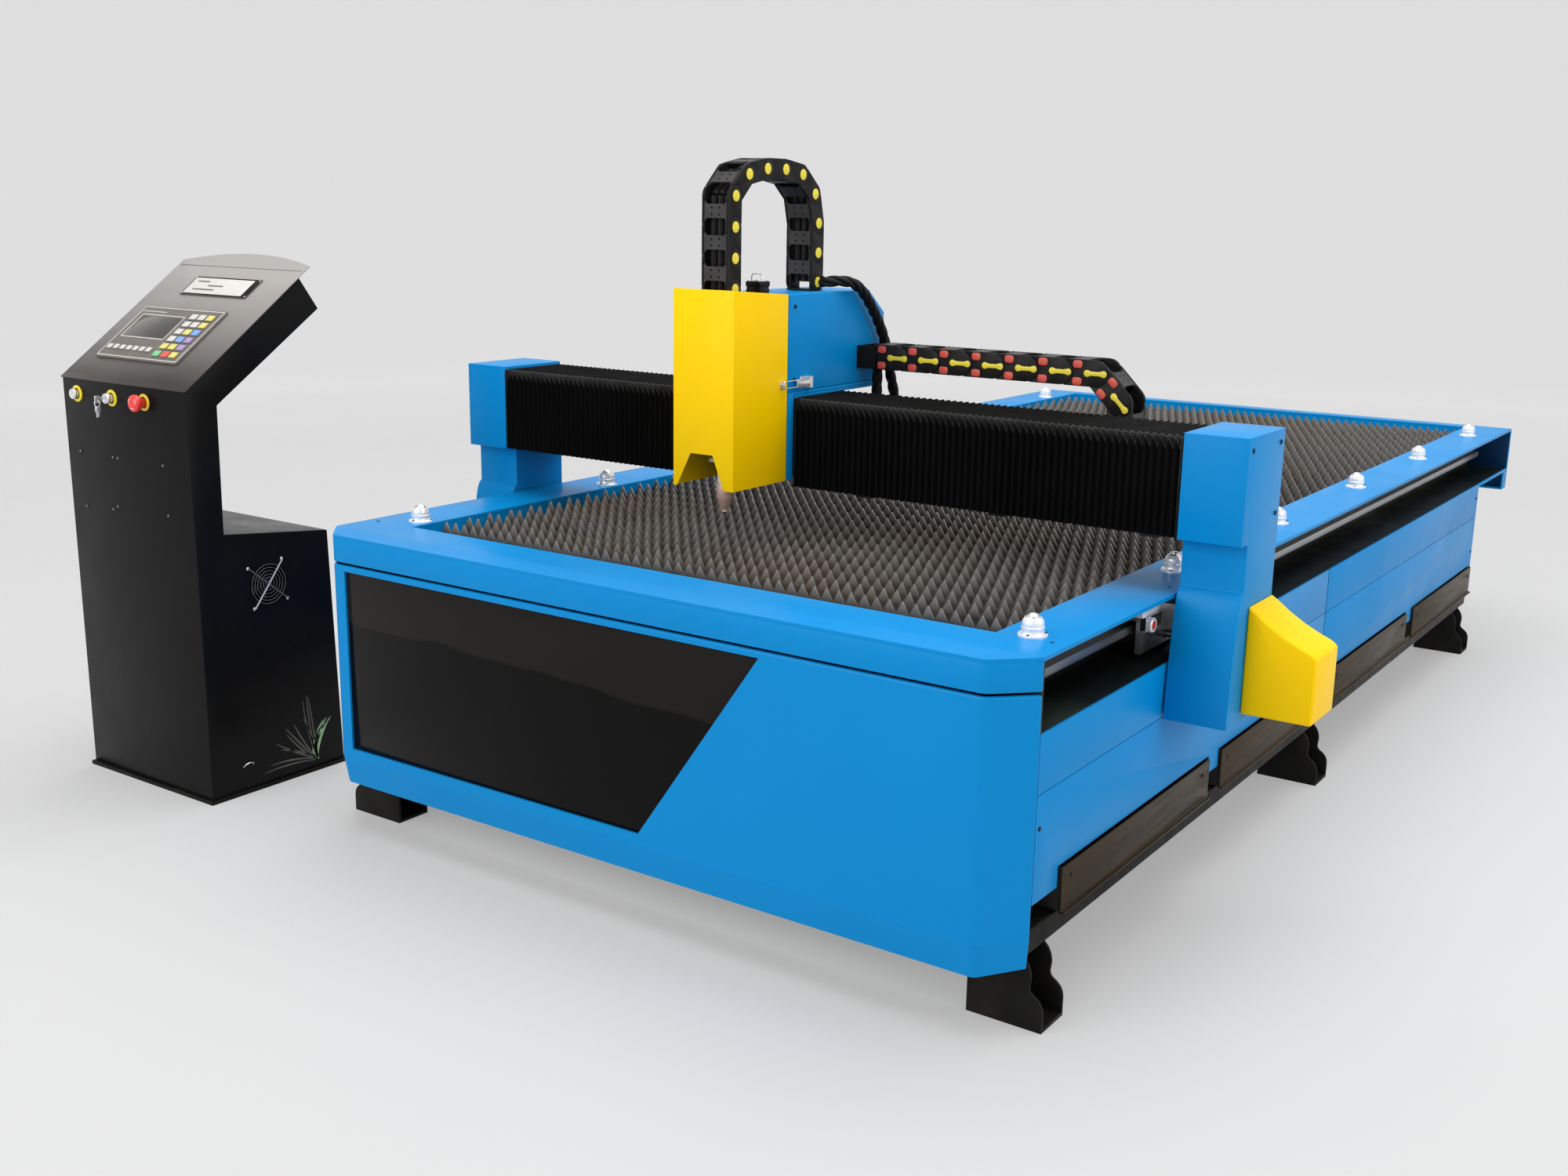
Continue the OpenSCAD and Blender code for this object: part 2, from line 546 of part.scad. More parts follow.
// hasp latch: a lever on the pin, with a wire loop that reaches over the cover
module cover_latch() color([0.8, 0.8, 0.8]) {
    difference() {
        translate([latch_x, latch_y, latch_z - 10]) cylinder(r = 5, h = 20);
        translate([latch_x, latch_y, latch_z - 11]) cylinder(r = 2.5, h = 22);
    }
    block([latch_x - 1, latch_y - 56, latch_z - 9], [latch_x + 2, latch_y - 4.6, latch_z + 9]);
    for (z = [latch_z - 9, latch_z + 6]) block([latch_x - 1.5, latch_y - 104, z],
        [latch_x + 1.5, latch_y - 56, z + 3]);
    block([latch_x - 1.5, latch_y - 107, latch_z - 9], [latch_x + 1.5, latch_y - 104, latch_z + 9]);
}
// looped chain over the head, in the Y-Z plane
z_leg_f = -1432;                // middle of the front leg
z_leg_r = -1118;                // middle of the rear leg
z_corner = 86;                  // radius of its two corners
z_loop = 1512;                  // middle of its top
zc_x0 = -120;
module z_corner_piece(y, a) translate([zc_x0, y, z_loop - z_corner]) rotate([90, 0, 90])
    rotate([0, 0, a]) rotate_extrude(angle = 90, $fn = 64)
        translate([z_corner - z_chain_h / 2, 0]) square([z_chain_h, z_chain_w]);
module z_chain() color([0.1, 0.1, 0.1]) {
    block([zc_x0, z_leg_f - z_chain_h / 2, 1138], [zc_x0 + z_chain_w, z_leg_f + z_chain_h / 2,
        z_loop - z_corner]);
    block([zc_x0, z_leg_r - z_chain_h / 2, carriage_top + 0.5], [zc_x0 + z_chain_w,
        z_leg_r + z_chain_h / 2, z_loop - z_corner]);
    block([zc_x0, z_leg_f + z_corner, z_loop - z_chain_h / 2], [zc_x0 + z_chain_w,
        z_leg_r - z_corner, z_loop + z_chain_h / 2]);
    z_corner_piece(z_leg_f + z_corner, 90);
    z_corner_piece(z_leg_r - z_corner, 0);
}

// hose bundle: a round tube swept through hand-chosen points
hose_r = 13;
hose_pts = [[-47.4, -1104, 1268], [-39, -1104, 1268], [-30, -1104, 1268],
    [-10, -1088, 1270], [5, -1060, 1266],
    [11, -1030, 1252], [12, -1000, 1228], [11, -966, 1196], [10, -932, 1156], [10, -906, 1110],
    [10, -890, 1062], [10, -874, 1024], [11, -863, 990], [13, -870, 958], [16, -892, 944],
    [18, -918, 944], [20, -944, 960], [21, -958, 992], [22, -962, 1030], [24, -963, 1076]];
function cr(a, b, c, d, t) = 0.5 * ((2 * b) + (c - a) * t + (2 * a - 5 * b + 4 * c - d) * t * t
    + (3 * b - a - 3 * c + d) * t * t * t);
hose_steps = 4;
function hose_at(k) = let (n = len(hose_pts) - 1, i = min(floor(k / hose_steps), n - 1),
    t = k / hose_steps - i, p = hose_pts)
    cr(p[max(i - 1, 0)], p[i], p[i + 1], p[min(i + 2, n)], t);
hose_n = (len(hose_pts) - 1) * hose_steps;
function unit(v) = v / norm(v);
hose_line = [for (k = [0 : hose_n]) hose_at(k)];
function hose_dir(k) = unit(hose_line[min(k + 1, hose_n)] - hose_line[max(k - 1, 0)]);
// side vector carried along the line without twisting
function carry(k, s) = k > hose_n ? [] : let (d = hose_dir(k), u = unit(s - (s * d) * d))
    concat([u], carry(k + 1, u));
module hose_bundle() color([0.04, 0.04, 0.04]) {
    m = 10;
    sides = carry(0, [0, 0, 1]);
    rings = [for (k = [0 : hose_n]) let (d = hose_dir(k), u = sides[k], v = cross(d, u))
        for (j = [0 : m - 1]) hose_line[k] + hose_r * (cos(j * 360 / m) * u + sin(j * 360 / m) * v)];
    faces = concat([[for (j = [0 : m - 1]) m - 1 - j]], [[for (j = [0 : m - 1]) hose_n * m + j]],
        [for (k = [0 : hose_n - 1], j = [0 : m - 1])
            [k * m + j, k * m + (j + 1) % m, (k + 1) * m + (j + 1) % m, (k + 1) * m + j]]);
    polyhedron(points = rings, faces = faces, convexity = 6);
}

// ---- torch ----
module torch_slide() color([0.5, 0.51, 0.52]) {
    block([-164, -1365, 930], [-16, -1353, 1130]);
    for (x = [-164, -40]) difference() {
        block([x, -1353, 930], [x + 24, head_y - 2, 1130]);
        block([x + 5.5, head_y - 12.5, 920], [x + 18.5, head_y, 1140]);
    }
    difference() {
        block([screw_x - 20, -1353, 1000], [screw_x + 20, screw_y + 18, 1040]);
        translate([screw_x, screw_y, 990]) cylinder(r = 8.06, h = 60);
    }
    difference() {
        block([torch_x - 27, torch_y - 27, 935], [torch_x + 27, -1365, 965]);
        translate([torch_x, torch_y, 930]) cylinder(r = torch_r + 0.05, h = 40);
    }
    block([zc_x0, z_leg_f - z_chain_h / 2, 1124], [zc_x0 + z_chain_w, -1365, 1130]);
    block([zc_x0 + 6, z_leg_f + z_chain_h / 2 + 1, 1130], [zc_x0 + z_chain_w - 6,
        z_leg_f + z_chain_h / 2 + 5, 1210]);
}
module torch_body() color([0.88, 0.87, 0.84]) translate([torch_x, torch_y, 0]) {
    translate([0, 0, 836]) cylinder(r = torch_r, h = 250);
    translate([0, 0, 1086]) cylinder(r = 11, h = 34);
}
module torch_cup() color([0.86, 0.72, 0.62]) translate([torch_x, torch_y, 0]) {
    translate([0, 0, 804]) cylinder(r = torch_r + 1, h = 32);
    translate([0, 0, 778]) cylinder(r1 = 7, r2 = torch_r + 1, h = 26);
    translate([0, 0, 772]) cylinder(r = 6, h = 6);
}

placed() bed_frame();
placed() front_panel();
placed() front_window();
placed() side_panels();
placed() rear_cap();
placed() base_frame();
placed() feet();
placed() ball_unit_housings();
placed() transfer_balls();
placed() slats();
placed() slat_combs();
placed() slag_chutes();
placed() y_rails();
placed() y_racks();
placed() slag_drawer_1();
placed() slag_drawer_2();
placed() slag_drawer_3();
placed() slag_drawer_4();
placed() console_shell();
placed() console_base();
placed() console_top();
placed() controller_panel();
placed() fan_guard();
placed() fan_rotor();
placed() start_button();
placed() key_switch();
placed() estop_button();
placed() button_collars();
placed() gantry_beam();
placed() end_posts();
placed() y_trucks();
placed() y_motors();
placed() motor_covers();
placed() y_pinions();
placed() x_rails();
placed() x_rack();
placed() bellows_left();
placed() bellows_right();
placed() chain_tray();
placed() x_chain_lower();
placed() x_chain_bend_lower();
placed() x_chain_bend_upper();
placed() x_chain_upper();
placed() x_chain_bracket();
placed() carriage_saddle();
placed() carriage_housing();
placed() latch_base();
placed() x_bearing_blocks();
placed() x_motor();
placed() x_pinion();
placed() z_rails();
placed() z_motor();
placed() z_screw();
placed() head_cover();
placed() cover_latch();
placed() z_chain();
placed() hose_bundle();
placed() torch_slide();
placed() torch_body();
placed() torch_cup();
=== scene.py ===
import math
import random

import bmesh
import bpy
from mathutils import Matrix, Vector
from mathutils.geometry import tessellate_polygon


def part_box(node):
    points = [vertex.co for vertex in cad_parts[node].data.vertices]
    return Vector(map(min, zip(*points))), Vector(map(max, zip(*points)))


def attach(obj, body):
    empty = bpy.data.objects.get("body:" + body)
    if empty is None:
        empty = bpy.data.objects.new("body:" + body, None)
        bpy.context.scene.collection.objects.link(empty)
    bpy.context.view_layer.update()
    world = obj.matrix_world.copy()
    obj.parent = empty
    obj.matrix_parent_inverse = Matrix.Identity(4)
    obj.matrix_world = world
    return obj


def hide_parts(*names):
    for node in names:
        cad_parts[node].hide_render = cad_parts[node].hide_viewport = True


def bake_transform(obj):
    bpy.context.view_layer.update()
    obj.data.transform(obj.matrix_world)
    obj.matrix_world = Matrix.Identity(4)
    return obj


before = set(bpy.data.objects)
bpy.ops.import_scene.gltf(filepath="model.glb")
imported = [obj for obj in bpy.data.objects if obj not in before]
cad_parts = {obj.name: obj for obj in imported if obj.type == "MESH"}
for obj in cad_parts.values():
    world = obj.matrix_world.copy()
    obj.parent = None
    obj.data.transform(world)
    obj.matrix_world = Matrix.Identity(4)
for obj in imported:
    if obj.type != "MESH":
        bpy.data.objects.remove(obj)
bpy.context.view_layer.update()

MM = 0.001
DECK_LO, DECK_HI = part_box("bed_frame")
MID_Y = (DECK_LO.y + DECK_HI.y) / 2  # middle of the table along Y; lengths below count from it, in mm
RNG = random.Random(7)


# ---------------------------------------------------------------- shapes
def at(p):
    """A point in mm, counted from the table's middle, as a place in the frame in metres."""
    return (p[0] * MM, p[1] * MM + MID_Y, p[2] * MM)


def span(node):
    """Lowest and highest corner of a CAD node, in mm counted from the table's middle."""
    lo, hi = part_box(node)
    return [[p.x / MM, (p.y - MID_Y) / MM, p.z / MM] for p in (lo, hi)]


def rounded(points, radius, seg=4):
    """A closed outline with its corners rounded. radius is one number, or one for each corner."""
    out, n = [], len(points)
    for i, p in enumerate(points):
        r = radius[i] if isinstance(radius, (list, tuple)) else radius
        p, a, b = Vector(p), Vector(points[i - 1]), Vector(points[(i + 1) % n])
        da, db = (a - p), (b - p)
        la, lb = da.length, db.length
        if r <= 0 or la < 1e-6 or lb < 1e-6:
            out.append(tuple(p))
            continue
        da, db = da / la, db / lb
        ang = math.acos(max(-1, min(1, da.dot(db))))
        if ang > math.radians(176):
            out.append(tuple(p))
            continue
        d = min(r / math.tan(ang / 2), la * 0.49, lb * 0.49)
        p0, p1 = p + da * d, p + db * d
        for k in range(seg + 1):
            t = k / seg
            q = p0 * (1 - t) ** 2 + p * 2 * t * (1 - t) + p1 * t * t
            out.append(tuple(q))
    return out


def polar(cx, cy, r, angles):
    """Points on a circle at these angles, in degrees."""
    return [(cx + r * math.cos(a), cy + r * math.sin(a)) for a in [math.radians(d) for d in angles]]


def ring_of(cx, cy, r, n=24):
    return polar(cx, cy, r, [360 * k / n for k in range(n)])


def rect(x0, y0, x1, y1):
    return [(x0, y0), (x1, y0), (x1, y1), (x0, y1)]


def head(r, edge, r_top, height, crown):
    """Profile of a screw head: straight to edge, then drawn in to r_top, with a low crown."""
    return [(0, 0), (r, 0), (r, edge), (r_top, height), (0, crown)]


PLANES = {"x": (1, 2, 0), "y": (0, 2, 1), "z": (0, 1, 2)}


class Shape:
    """Collects closed solids into one mesh."""

    def __init__(self):
        self.verts, self.faces, self.mats = [], [], []

    def take(self, verts, faces, mat=0, bevel=0.0, seg=2, angle=30, xf=None, keep=()):
        mats = mat if isinstance(mat, list) else [mat] * len(faces)
        if bevel > 0:
            bm = bmesh.new()
            vs = [bm.verts.new(v) for v in verts]
            for f, m in zip(faces, mats):
                try:
                    face = bm.faces.new([vs[i] for i in f])
                    face.material_index = m
                except ValueError:
                    pass
            bmesh.ops.recalc_face_normals(bm, faces=bm.faces)
            kept = {vs[i] for i in keep}
            edges = [
                e
                for e in bm.edges
                if len(e.link_faces) == 2
                and e.calc_face_angle(0) > math.radians(angle)
                and not (kept and e.verts[0] in kept and e.verts[1] in kept)
            ]
            if edges:
                bmesh.ops.bevel(
                    bm, geom=edges, offset=bevel, offset_type="OFFSET", segments=seg,
                    profile=0.5, affect="EDGES", clamp_overlap=True,
                )
            bm.verts.index_update()
            verts = [tuple(v.co) for v in bm.verts]
            faces = [[v.index for v in f.verts] for f in bm.faces]
            mats = [f.material_index for f in bm.faces]
            bm.free()
        if xf is not None:
            verts = [tuple(xf @ Vector(v)) for v in verts]
        n = len(self.verts)
        self.verts += [tuple(v) for v in verts]
        self.faces += [[i + n for i in f] for f in faces]
        self.mats += mats

    def box(self, a, b, mat=0, bevel=0.0, seg=2, xf=None):
        lo = [min(p, q) for p, q in zip(a, b)]
        hi = [max(p, q) for p, q in zip(a, b)]
        v = [(x, y, z) for x in (lo[0], hi[0]) for y in (lo[1], hi[1]) for z in (lo[2], hi[2])]
        f = [(0, 1, 3, 2), (4, 6, 7, 5), (0, 4, 5, 1), (2, 3, 7, 6), (0, 2, 6, 4), (1, 5, 7, 3)]
        self.take(v, f, mat, bevel, seg, xf=xf)

    def prism(self, outline, axis, lo, hi, mat=0, bevel=0.0, seg=2, holes=(), blind=None, xf=None, angle=30):
        """Extrudes an outline along an axis. holes go right through; blind = (outline, depth) sinks
        into the high end."""
        lo, hi = min(lo, hi), max(lo, hi)
        i, j, k = PLANES[axis]

        def put(p, h):
            v = [0, 0, 0]
            v[i], v[j], v[k] = p[0], p[1], h
            return tuple(v)

        loops = [list(outline)] + [list(h) for h in holes]
        verts, faces, tagged, starts = [], [], [], []
        for loop in loops:
            starts.append(len(verts))
            n = len(loop)
            verts += [put(p, lo) for p in loop] + [put(p, hi) for p in loop]
            s = starts[-1]
            faces += [(s + m, s + (m + 1) % n, s + n + (m + 1) % n, s + n + m) for m in range(n)]
        hi_loops = [(s + len(loop), loop) for s, loop in zip(starts, loops)]
        if blind:
            loop, depth = blind
            s, n = len(verts), len(loop)
            verts += [put(p, hi) for p in loop] + [put(p, hi - depth) for p in loop]
            faces += [(s + m, s + (m + 1) % n, s + n + (m + 1) % n, s + n + m) for m in range(n)]
            faces.append([s + n + m for m in range(n)])
            tagged = list(range(s, s + 2 * n))
            hi_loops.append((s, list(loop)))
        for which in (0, 1):
            use = list(zip(starts, loops)) if which == 0 else hi_loops
            index = [s + m for s, loop in use for m in range(len(loop))]
            if len(use) == 1:
                faces.append(index)
            else:
                tris = tessellate_polygon([[Vector((p[0], p[1], 0)) for p in loop] for _, loop in use])
                faces += [[index[q] for q in tri] for tri in tris]
        self.take(verts, faces, mat, bevel, seg, angle, xf, tagged)

    def lathe(self, profile, origin, axis="z", n=32, mat=0, xf=None, flip=1):
        """Turns a profile of (radius, height) round an axis. A radius of 0 at an end closes it."""
        i, j, k = PLANES[axis]
        verts, faces, rows = [], [], []
        for r, h in profile:
            row = []
            count = 1 if r < 1e-6 else n
            for m in range(count):
                v = [0, 0, 0]
                a = 2 * math.pi * m / n
                v[i], v[j], v[k] = r * math.cos(a), r * math.sin(a), h * flip
                row.append(len(verts))
                verts.append((v[0] + origin[0], v[1] + origin[1], v[2] + origin[2]))
            rows.append(row)
        for a, b in zip(rows, rows[1:]):
            for m in range(n):
                q = [a[m % len(a)], a[(m + 1) % len(a)], b[(m + 1) % len(b)], b[m % len(b)]]
                q = list(dict.fromkeys(q))
                if len(q) > 2:
                    faces.append(q)
        for row in (rows[0], rows[-1]):
            if len(row) > 1:
                faces.append(row)
        self.take(verts, faces, mat, xf=xf)

    def sweep(self, path, section, mat=0, closed=False, up=(0, 0, 1), xf=None):
        """Carries a closed section along a path without twisting it."""
        path = [Vector(p) for p in path]
        n, m = len(path), len(section)
        side, verts, faces = Vector(up), [], []
        for k, p in enumerate(path):
            a = path[k - 1] if (k or closed) else path[k]
            b = path[(k + 1) % n] if (k < n - 1 or closed) else path[k]
            d = (b - a).normalized()
            side = (side - d * side.dot(d)).normalized()
            other = d.cross(side)
            verts += [tuple(p + side * s[0] + other * s[1]) for s in section]
        for k in range(n if closed else n - 1):
            for q in range(m):
                r = (q + 1) % m
                faces.append((k * m + q, k * m + r, (k + 1) % n * m + r, (k + 1) % n * m + q))
        if not closed:
            faces += [list(range(m)), list(range((n - 1) * m, n * m))]
        self.take(verts, faces, mat, xf=xf)


def make_object(name, shape, mats, smooth=35):
    me = bpy.data.meshes.new(name)
    me.from_pydata([at(v) for v in shape.verts], [], shape.faces)
    for m in mats:
        me.materials.append(m)
    me.polygons.foreach_set("material_index", shape.mats)
    bm = bmesh.new()
    bm.from_mesh(me)
    bmesh.ops.recalc_face_normals(bm, faces=bm.faces)
    bm.to_mesh(me)
    bm.free()
    me.polygons.foreach_set("use_smooth", [True] * len(me.polygons))
    me.set_sharp_from_angle(angle=math.radians(smooth))
    me.update()
    obj = bpy.data.objects.new(name, me)
    bpy.context.scene.collection.objects.link(obj)
    return obj


def piece(name, shape, body, mats, replaces=(), smooth=35):
    """One visible piece that rides on a body and may stand for CAD nodes."""
    obj = make_object(name, shape, mats, smooth)
    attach(obj, body)
    if replaces:
        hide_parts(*replaces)
    return obj


def stretch(obj, a, b, x0, x1, f0, f1):
    """Bakes obj's placing into its mesh. a, b, x0, x1, f0 and f1 are not used."""
    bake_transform(obj)


# ---------------------------------------------------------------- materials
BUMP_DEPTH, WAVE_DEPTH = 0.0006, 0.02  # metres


def material(
    name, base, rough=0.4, metal=0.0, coat=0.0, coat_rough=0.08, spec=0.5, vary=0.08, vary_scale=2.5,
    tint=None, tint_scale=6.0, tint_from=0.5, tint_to=0.75, rough_vary=0.08, bump=0.02, bump_scale=350.0,
    wave=0.0, wave_scale=2.0, streak=None, wear_and_sheen_z=None, wear_and_sheen_colour=None, wear_and_sheen_wobble=0.0,
):
    """A Principled material whose colour, roughness and bump vary with noise in the object's own
    coordinates. tint is a second colour in patches, streak stretches the pattern, and wave is a slow
    waviness of the sheet. The last three arguments give two heights, in metres, a colour that comes in
    between them, and a wobble of that band: painted reflection on the gloss sheet and the console
    lid, and a lighter band toward the slats' tooth tips."""
    m = bpy.data.materials.new(name)
    m.use_nodes = True
    nt = m.node_tree
    nodes, links = nt.nodes, nt.links
    b = nodes["Principled BSDF"]
    b.inputs["Metallic"].default_value = metal
    b.inputs["Specular IOR Level"].default_value = spec
    b.inputs["Coat Weight"].default_value = coat
    b.inputs["Coat Roughness"].default_value = coat_rough
    coords = nodes.new("ShaderNodeTexCoord")
    source = coords.outputs["Object"]
    if streak:
        mapping = nodes.new("ShaderNodeMapping")
        mapping.inputs["Scale"].default_value = streak
        links.new(source, mapping.inputs["Vector"])
        stretched = mapping.outputs["Vector"]
    else:
        stretched = source

    def noise(scale, detail, vector):
        t = nodes.new("ShaderNodeTexNoise")
        t.inputs["Scale"].default_value = scale
        t.inputs["Detail"].default_value = detail
        links.new(vector, t.inputs["Vector"])
        return t.outputs["Fac"]

    def ramp(fac, stops):
        r = nodes.new("ShaderNodeValToRGB")
        e = r.color_ramp.elements
        e[0].position, e[0].color = stops[0][0], (*stops[0][1], 1)
        e[1].position, e[1].color = stops[1][0], (*stops[1][1], 1)
        for pos, col in stops[2:]:
            n = e.new(pos)
            n.color = (*col, 1)
        links.new(fac, r.inputs["Fac"])
        return r.outputs["Color"]

    def mix(fac, a, c):
        x = nodes.new("ShaderNodeMix")
        x.data_type = "RGBA"
        links.new(fac, x.inputs["Factor"])
        links.new(a, x.inputs[6])
        if isinstance(c, tuple):
            x.inputs[7].default_value = (*c, 1)
        else:
            links.new(c, x.inputs[7])
        return x.outputs[2]

    def spread(fac, lo, hi, a, c):
        r = nodes.new("ShaderNodeMapRange")
        for key, val in (("From Min", lo), ("From Max", hi), ("To Min", a), ("To Max", c)):
            r.inputs[key].default_value = val
        links.new(fac, r.inputs["Value"])
        return r.outputs["Result"]

    dark = tuple(c * (1 - vary) for c in base)
    light = tuple(min(1.0, c * (1 + vary)) for c in base)
    colour = ramp(noise(vary_scale, 4, stretched), [(0.3, dark), (0.7, light)])
    if tint:
        colour = mix(spread(noise(tint_scale, 6, stretched), tint_from, tint_to, 0, 1), colour, tint)
    # Between two heights the colour turns to a second one: a painted reflection band on the gloss sheet and
    # the console lid, and a lighter band toward the slats' tooth tips.
    if wear_and_sheen_z:
        split = nodes.new("ShaderNodeSeparateXYZ")
        links.new(source, split.inputs[0])
        wobble = nodes.new("ShaderNodeMath")
        wobble.operation = "MULTIPLY_ADD"
        wobble.inputs[1].default_value = wear_and_sheen_wobble
        links.new(noise(2.2, 2, source), wobble.inputs[0])
        links.new(split.outputs["Z"], wobble.inputs[2])
        fac = spread(wobble.outputs[0], wear_and_sheen_z[0], wear_and_sheen_z[1], 0, 0.9)
        colour = mix(fac, colour, wear_and_sheen_colour)
    links.new(colour, b.inputs["Base Color"])
    smoothest, roughest = max(0.02, rough - rough_vary), min(1, rough + rough_vary)
    links.new(spread(noise(vary_scale * 5, 5, stretched), 0.3, 0.7, smoothest, roughest),
              b.inputs["Roughness"])
    height = noise(bump_scale, 2, source)
    bump_node = nodes.new("ShaderNodeBump")
    bump_node.inputs["Strength"].default_value = bump * 5 if bump < 0.2 else 1.0
    bump_node.inputs["Distance"].default_value = BUMP_DEPTH
    links.new(height, bump_node.inputs["Height"])
    normal = bump_node.outputs["Normal"]
    if wave:
        second = nodes.new("ShaderNodeBump")
        second.inputs["Strength"].default_value = wave
        second.inputs["Distance"].default_value = WAVE_DEPTH
        links.new(noise(wave_scale, 1, source), second.inputs["Height"])
        links.new(normal, second.inputs["Normal"])
        normal = second.outputs["Normal"]
    links.new(normal, b.inputs["Normal"])
    return m


BLUE = material("blue_powder_coat", (0.0, 0.222, 0.555), rough=0.38, coat=0.03, coat_rough=0.15, spec=0.1,
    vary=0.05, vary_scale=1.2, rough_vary=0.05, bump_scale=420, wave=0.04, wave_scale=3.0)
# Dark blue that stands in for the shade on the rear cap's inner face in the channel: painted shade.
SHADE_BLUE = material("painted_shade_blue", (0.002, 0.03, 0.085), rough=0.45, spec=0.15, vary=0.1)
YELLOW = material("yellow_powder_coat", (0.93, 0.58, 0.0), coat=0.03, spec=0.08, vary=0.04, vary_scale=3,
    bump_scale=420)
# The lighter wavy band between 0.54 and 0.546 m up the gloss sheet is a painted reflection.
GLOSS_BLACK = material("gloss_black_sheet", (0.0035, 0.003, 0.0028), rough=0.08, spec=0.08, vary=0.3,
    vary_scale=1.2, rough_vary=0.02, bump=0.0, wave=0.25, wave_scale=1.3, wear_and_sheen_z=(0.54, 0.546),
    wear_and_sheen_colour=(0.0125, 0.0105, 0.0095), wear_and_sheen_wobble=0.1)
CONSOLE_BLACK = material("black_powder_coat", (0.005, 0.0048, 0.005), rough=0.3, spec=0.1, vary=0.35,
    vary_scale=2.0, rough_vary=0.06, bump=0.03, bump_scale=500)
BLACK_PAINT = material("black_satin_paint", (0.006, 0.0055, 0.005), rough=0.5, spec=0.12, vary=0.3,
    vary_scale=5, tint=(0.018, 0.014, 0.01), tint_scale=9, bump=0.05, bump_scale=300)
# The greenish patches over the channel's black are painted reflection.
CHANNEL = material("channel_black", (0.006, 0.008, 0.006), rough=0.42, spec=0.15, vary=0.4, vary_scale=3,
    tint=(0.03, 0.045, 0.025), tint_scale=3, bump=0.05)
ZINC = material("bright_zinc", (0.80, 0.81, 0.84), rough=0.2, metal=0.75, vary=0.05, vary_scale=25,
    bump_scale=600)
DIM_ZINC = material("dull_zinc", (0.16, 0.16, 0.17), metal=0.4, vary=0.1, vary_scale=25)
WHITE_METAL = material("white_zinc", (0.86, 0.87, 0.9), rough=0.22, metal=0.35, vary=0.04, vary_scale=20)
STEEL = material("ground_steel", (0.42, 0.43, 0.44), rough=0.32, metal=0.85, vary=0.12, vary_scale=12,
    bump=0.03, bump_scale=700, streak=(1.0, 0.08, 1.0))
DARK_STEEL = material("dark_steel", (0.02, 0.02, 0.021), rough=0.5, metal=0.2, spec=0.2, vary=0.3,
    vary_scale=8, bump=0.05)
# Lighter grey toward the tooth tips, darker below them.
SLAT = material("slat_steel", (0.085, 0.078, 0.07), rough=0.46, metal=0.3, spec=0.3, vary=0.4, vary_scale=9,
    tint=(0.12, 0.078, 0.045), tint_scale=1.8, tint_from=0.48, tint_to=0.72, rough_vary=0.14, bump=0.12,
    bump_scale=140, wear_and_sheen_z=(0.676, 0.708), wear_and_sheen_colour=(0.34, 0.32, 0.30))
BRONZE = material("bronze_paint", (0.034, 0.022, 0.007), rough=0.45, coat=0.05, spec=0.15, vary=0.35,
    vary_scale=3, tint=(0.014, 0.011, 0.006), tint_scale=4, streak=(1.0, 0.5, 6.0), bump=0.05,
    bump_scale=260)
STRIP = material("strip_brown", (0.085, 0.07, 0.055), rough=0.5, spec=0.25, vary=0.25, vary_scale=4,
    tint=(0.04, 0.05, 0.03), tint_scale=3, bump=0.05)
BRASS = material("brass_block", (0.62, 0.50, 0.22), rough=0.35, metal=0.7, vary=0.1, vary_scale=30)
# The lid turns light grey from 1.04 m up to 1.27 m: a painted reflection.
TOP_SATIN = material("console_top_satin", (0.04, 0.034, 0.03), rough=0.36, metal=0.1, spec=0.3,
    wear_and_sheen_z=(1.04, 1.27), wear_and_sheen_colour=(0.36, 0.345, 0.33), wear_and_sheen_wobble=0.06, vary=0.12, vary_scale=6,
    bump=0.04, bump_scale=600, streak=(0.15, 1.0, 1.0))
PANEL_GREY = material("keypad_grey", (0.13, 0.115, 0.105), rough=0.45, vary=0.1, vary_scale=20)
PANEL_LINE = material("keypad_line", (0.48, 0.46, 0.43), rough=0.5, vary=0.06, vary_scale=30, bump=0.01)
SCREEN = material("screen_glass", (0.045, 0.043, 0.04), rough=0.12, coat=0.4, vary=0.1, bump=0.0)
KEY_COLOURS = {
    "white": (0.56, 0.55, 0.52), "yellow": (0.66, 0.56, 0.14), "blue": (0.16, 0.33, 0.72),
    "purple": (0.33, 0.24, 0.45), "green": (0.15, 0.5, 0.2), "red": (0.72, 0.09, 0.06),
}
KEYS = [material(f"key_{name}", colour, rough=0.45, vary=0.04 if name == "white" else 0.05, vary_scale=60)
        for name, colour in KEY_COLOURS.items()]
BLACK_PLASTIC = material("black_plastic", (0.0085, 0.008, 0.0078), rough=0.45, spec=0.15, vary=0.25,
    vary_scale=15, tint=(0.02, 0.019, 0.018), tint_scale=30, bump=0.05, bump_scale=500)
CHAIN_LID = material("chain_lid_plastic", (0.03, 0.028, 0.027), rough=0.5, spec=0.3, vary=0.3,
    vary_scale=25, bump=0.06)
RED_PLASTIC = material("red_plastic", (0.70, 0.03, 0.025), rough=0.25, coat=0.3, vary_scale=40, bump=0.01)
DOT_RED = material("marker_red", (0.62, 0.075, 0.05), rough=0.45, vary=0.12, vary_scale=40, bump=0.04)
DOT_YELLOW = material("marker_yellow", (0.80, 0.66, 0.04), rough=0.42, vary=0.1, vary_scale=40, bump=0.04)
COLLAR = material("yellow_collar", (0.85, 0.66, 0.03), rough=0.3, coat=0.2, vary=0.06, vary_scale=50,
    bump=0.01)
CLOTH = material("bellows_cloth", (0.0028, 0.0027, 0.0027), rough=0.6, spec=0.06, vary=0.3, vary_scale=6,
    bump=0.09, bump_scale=900)
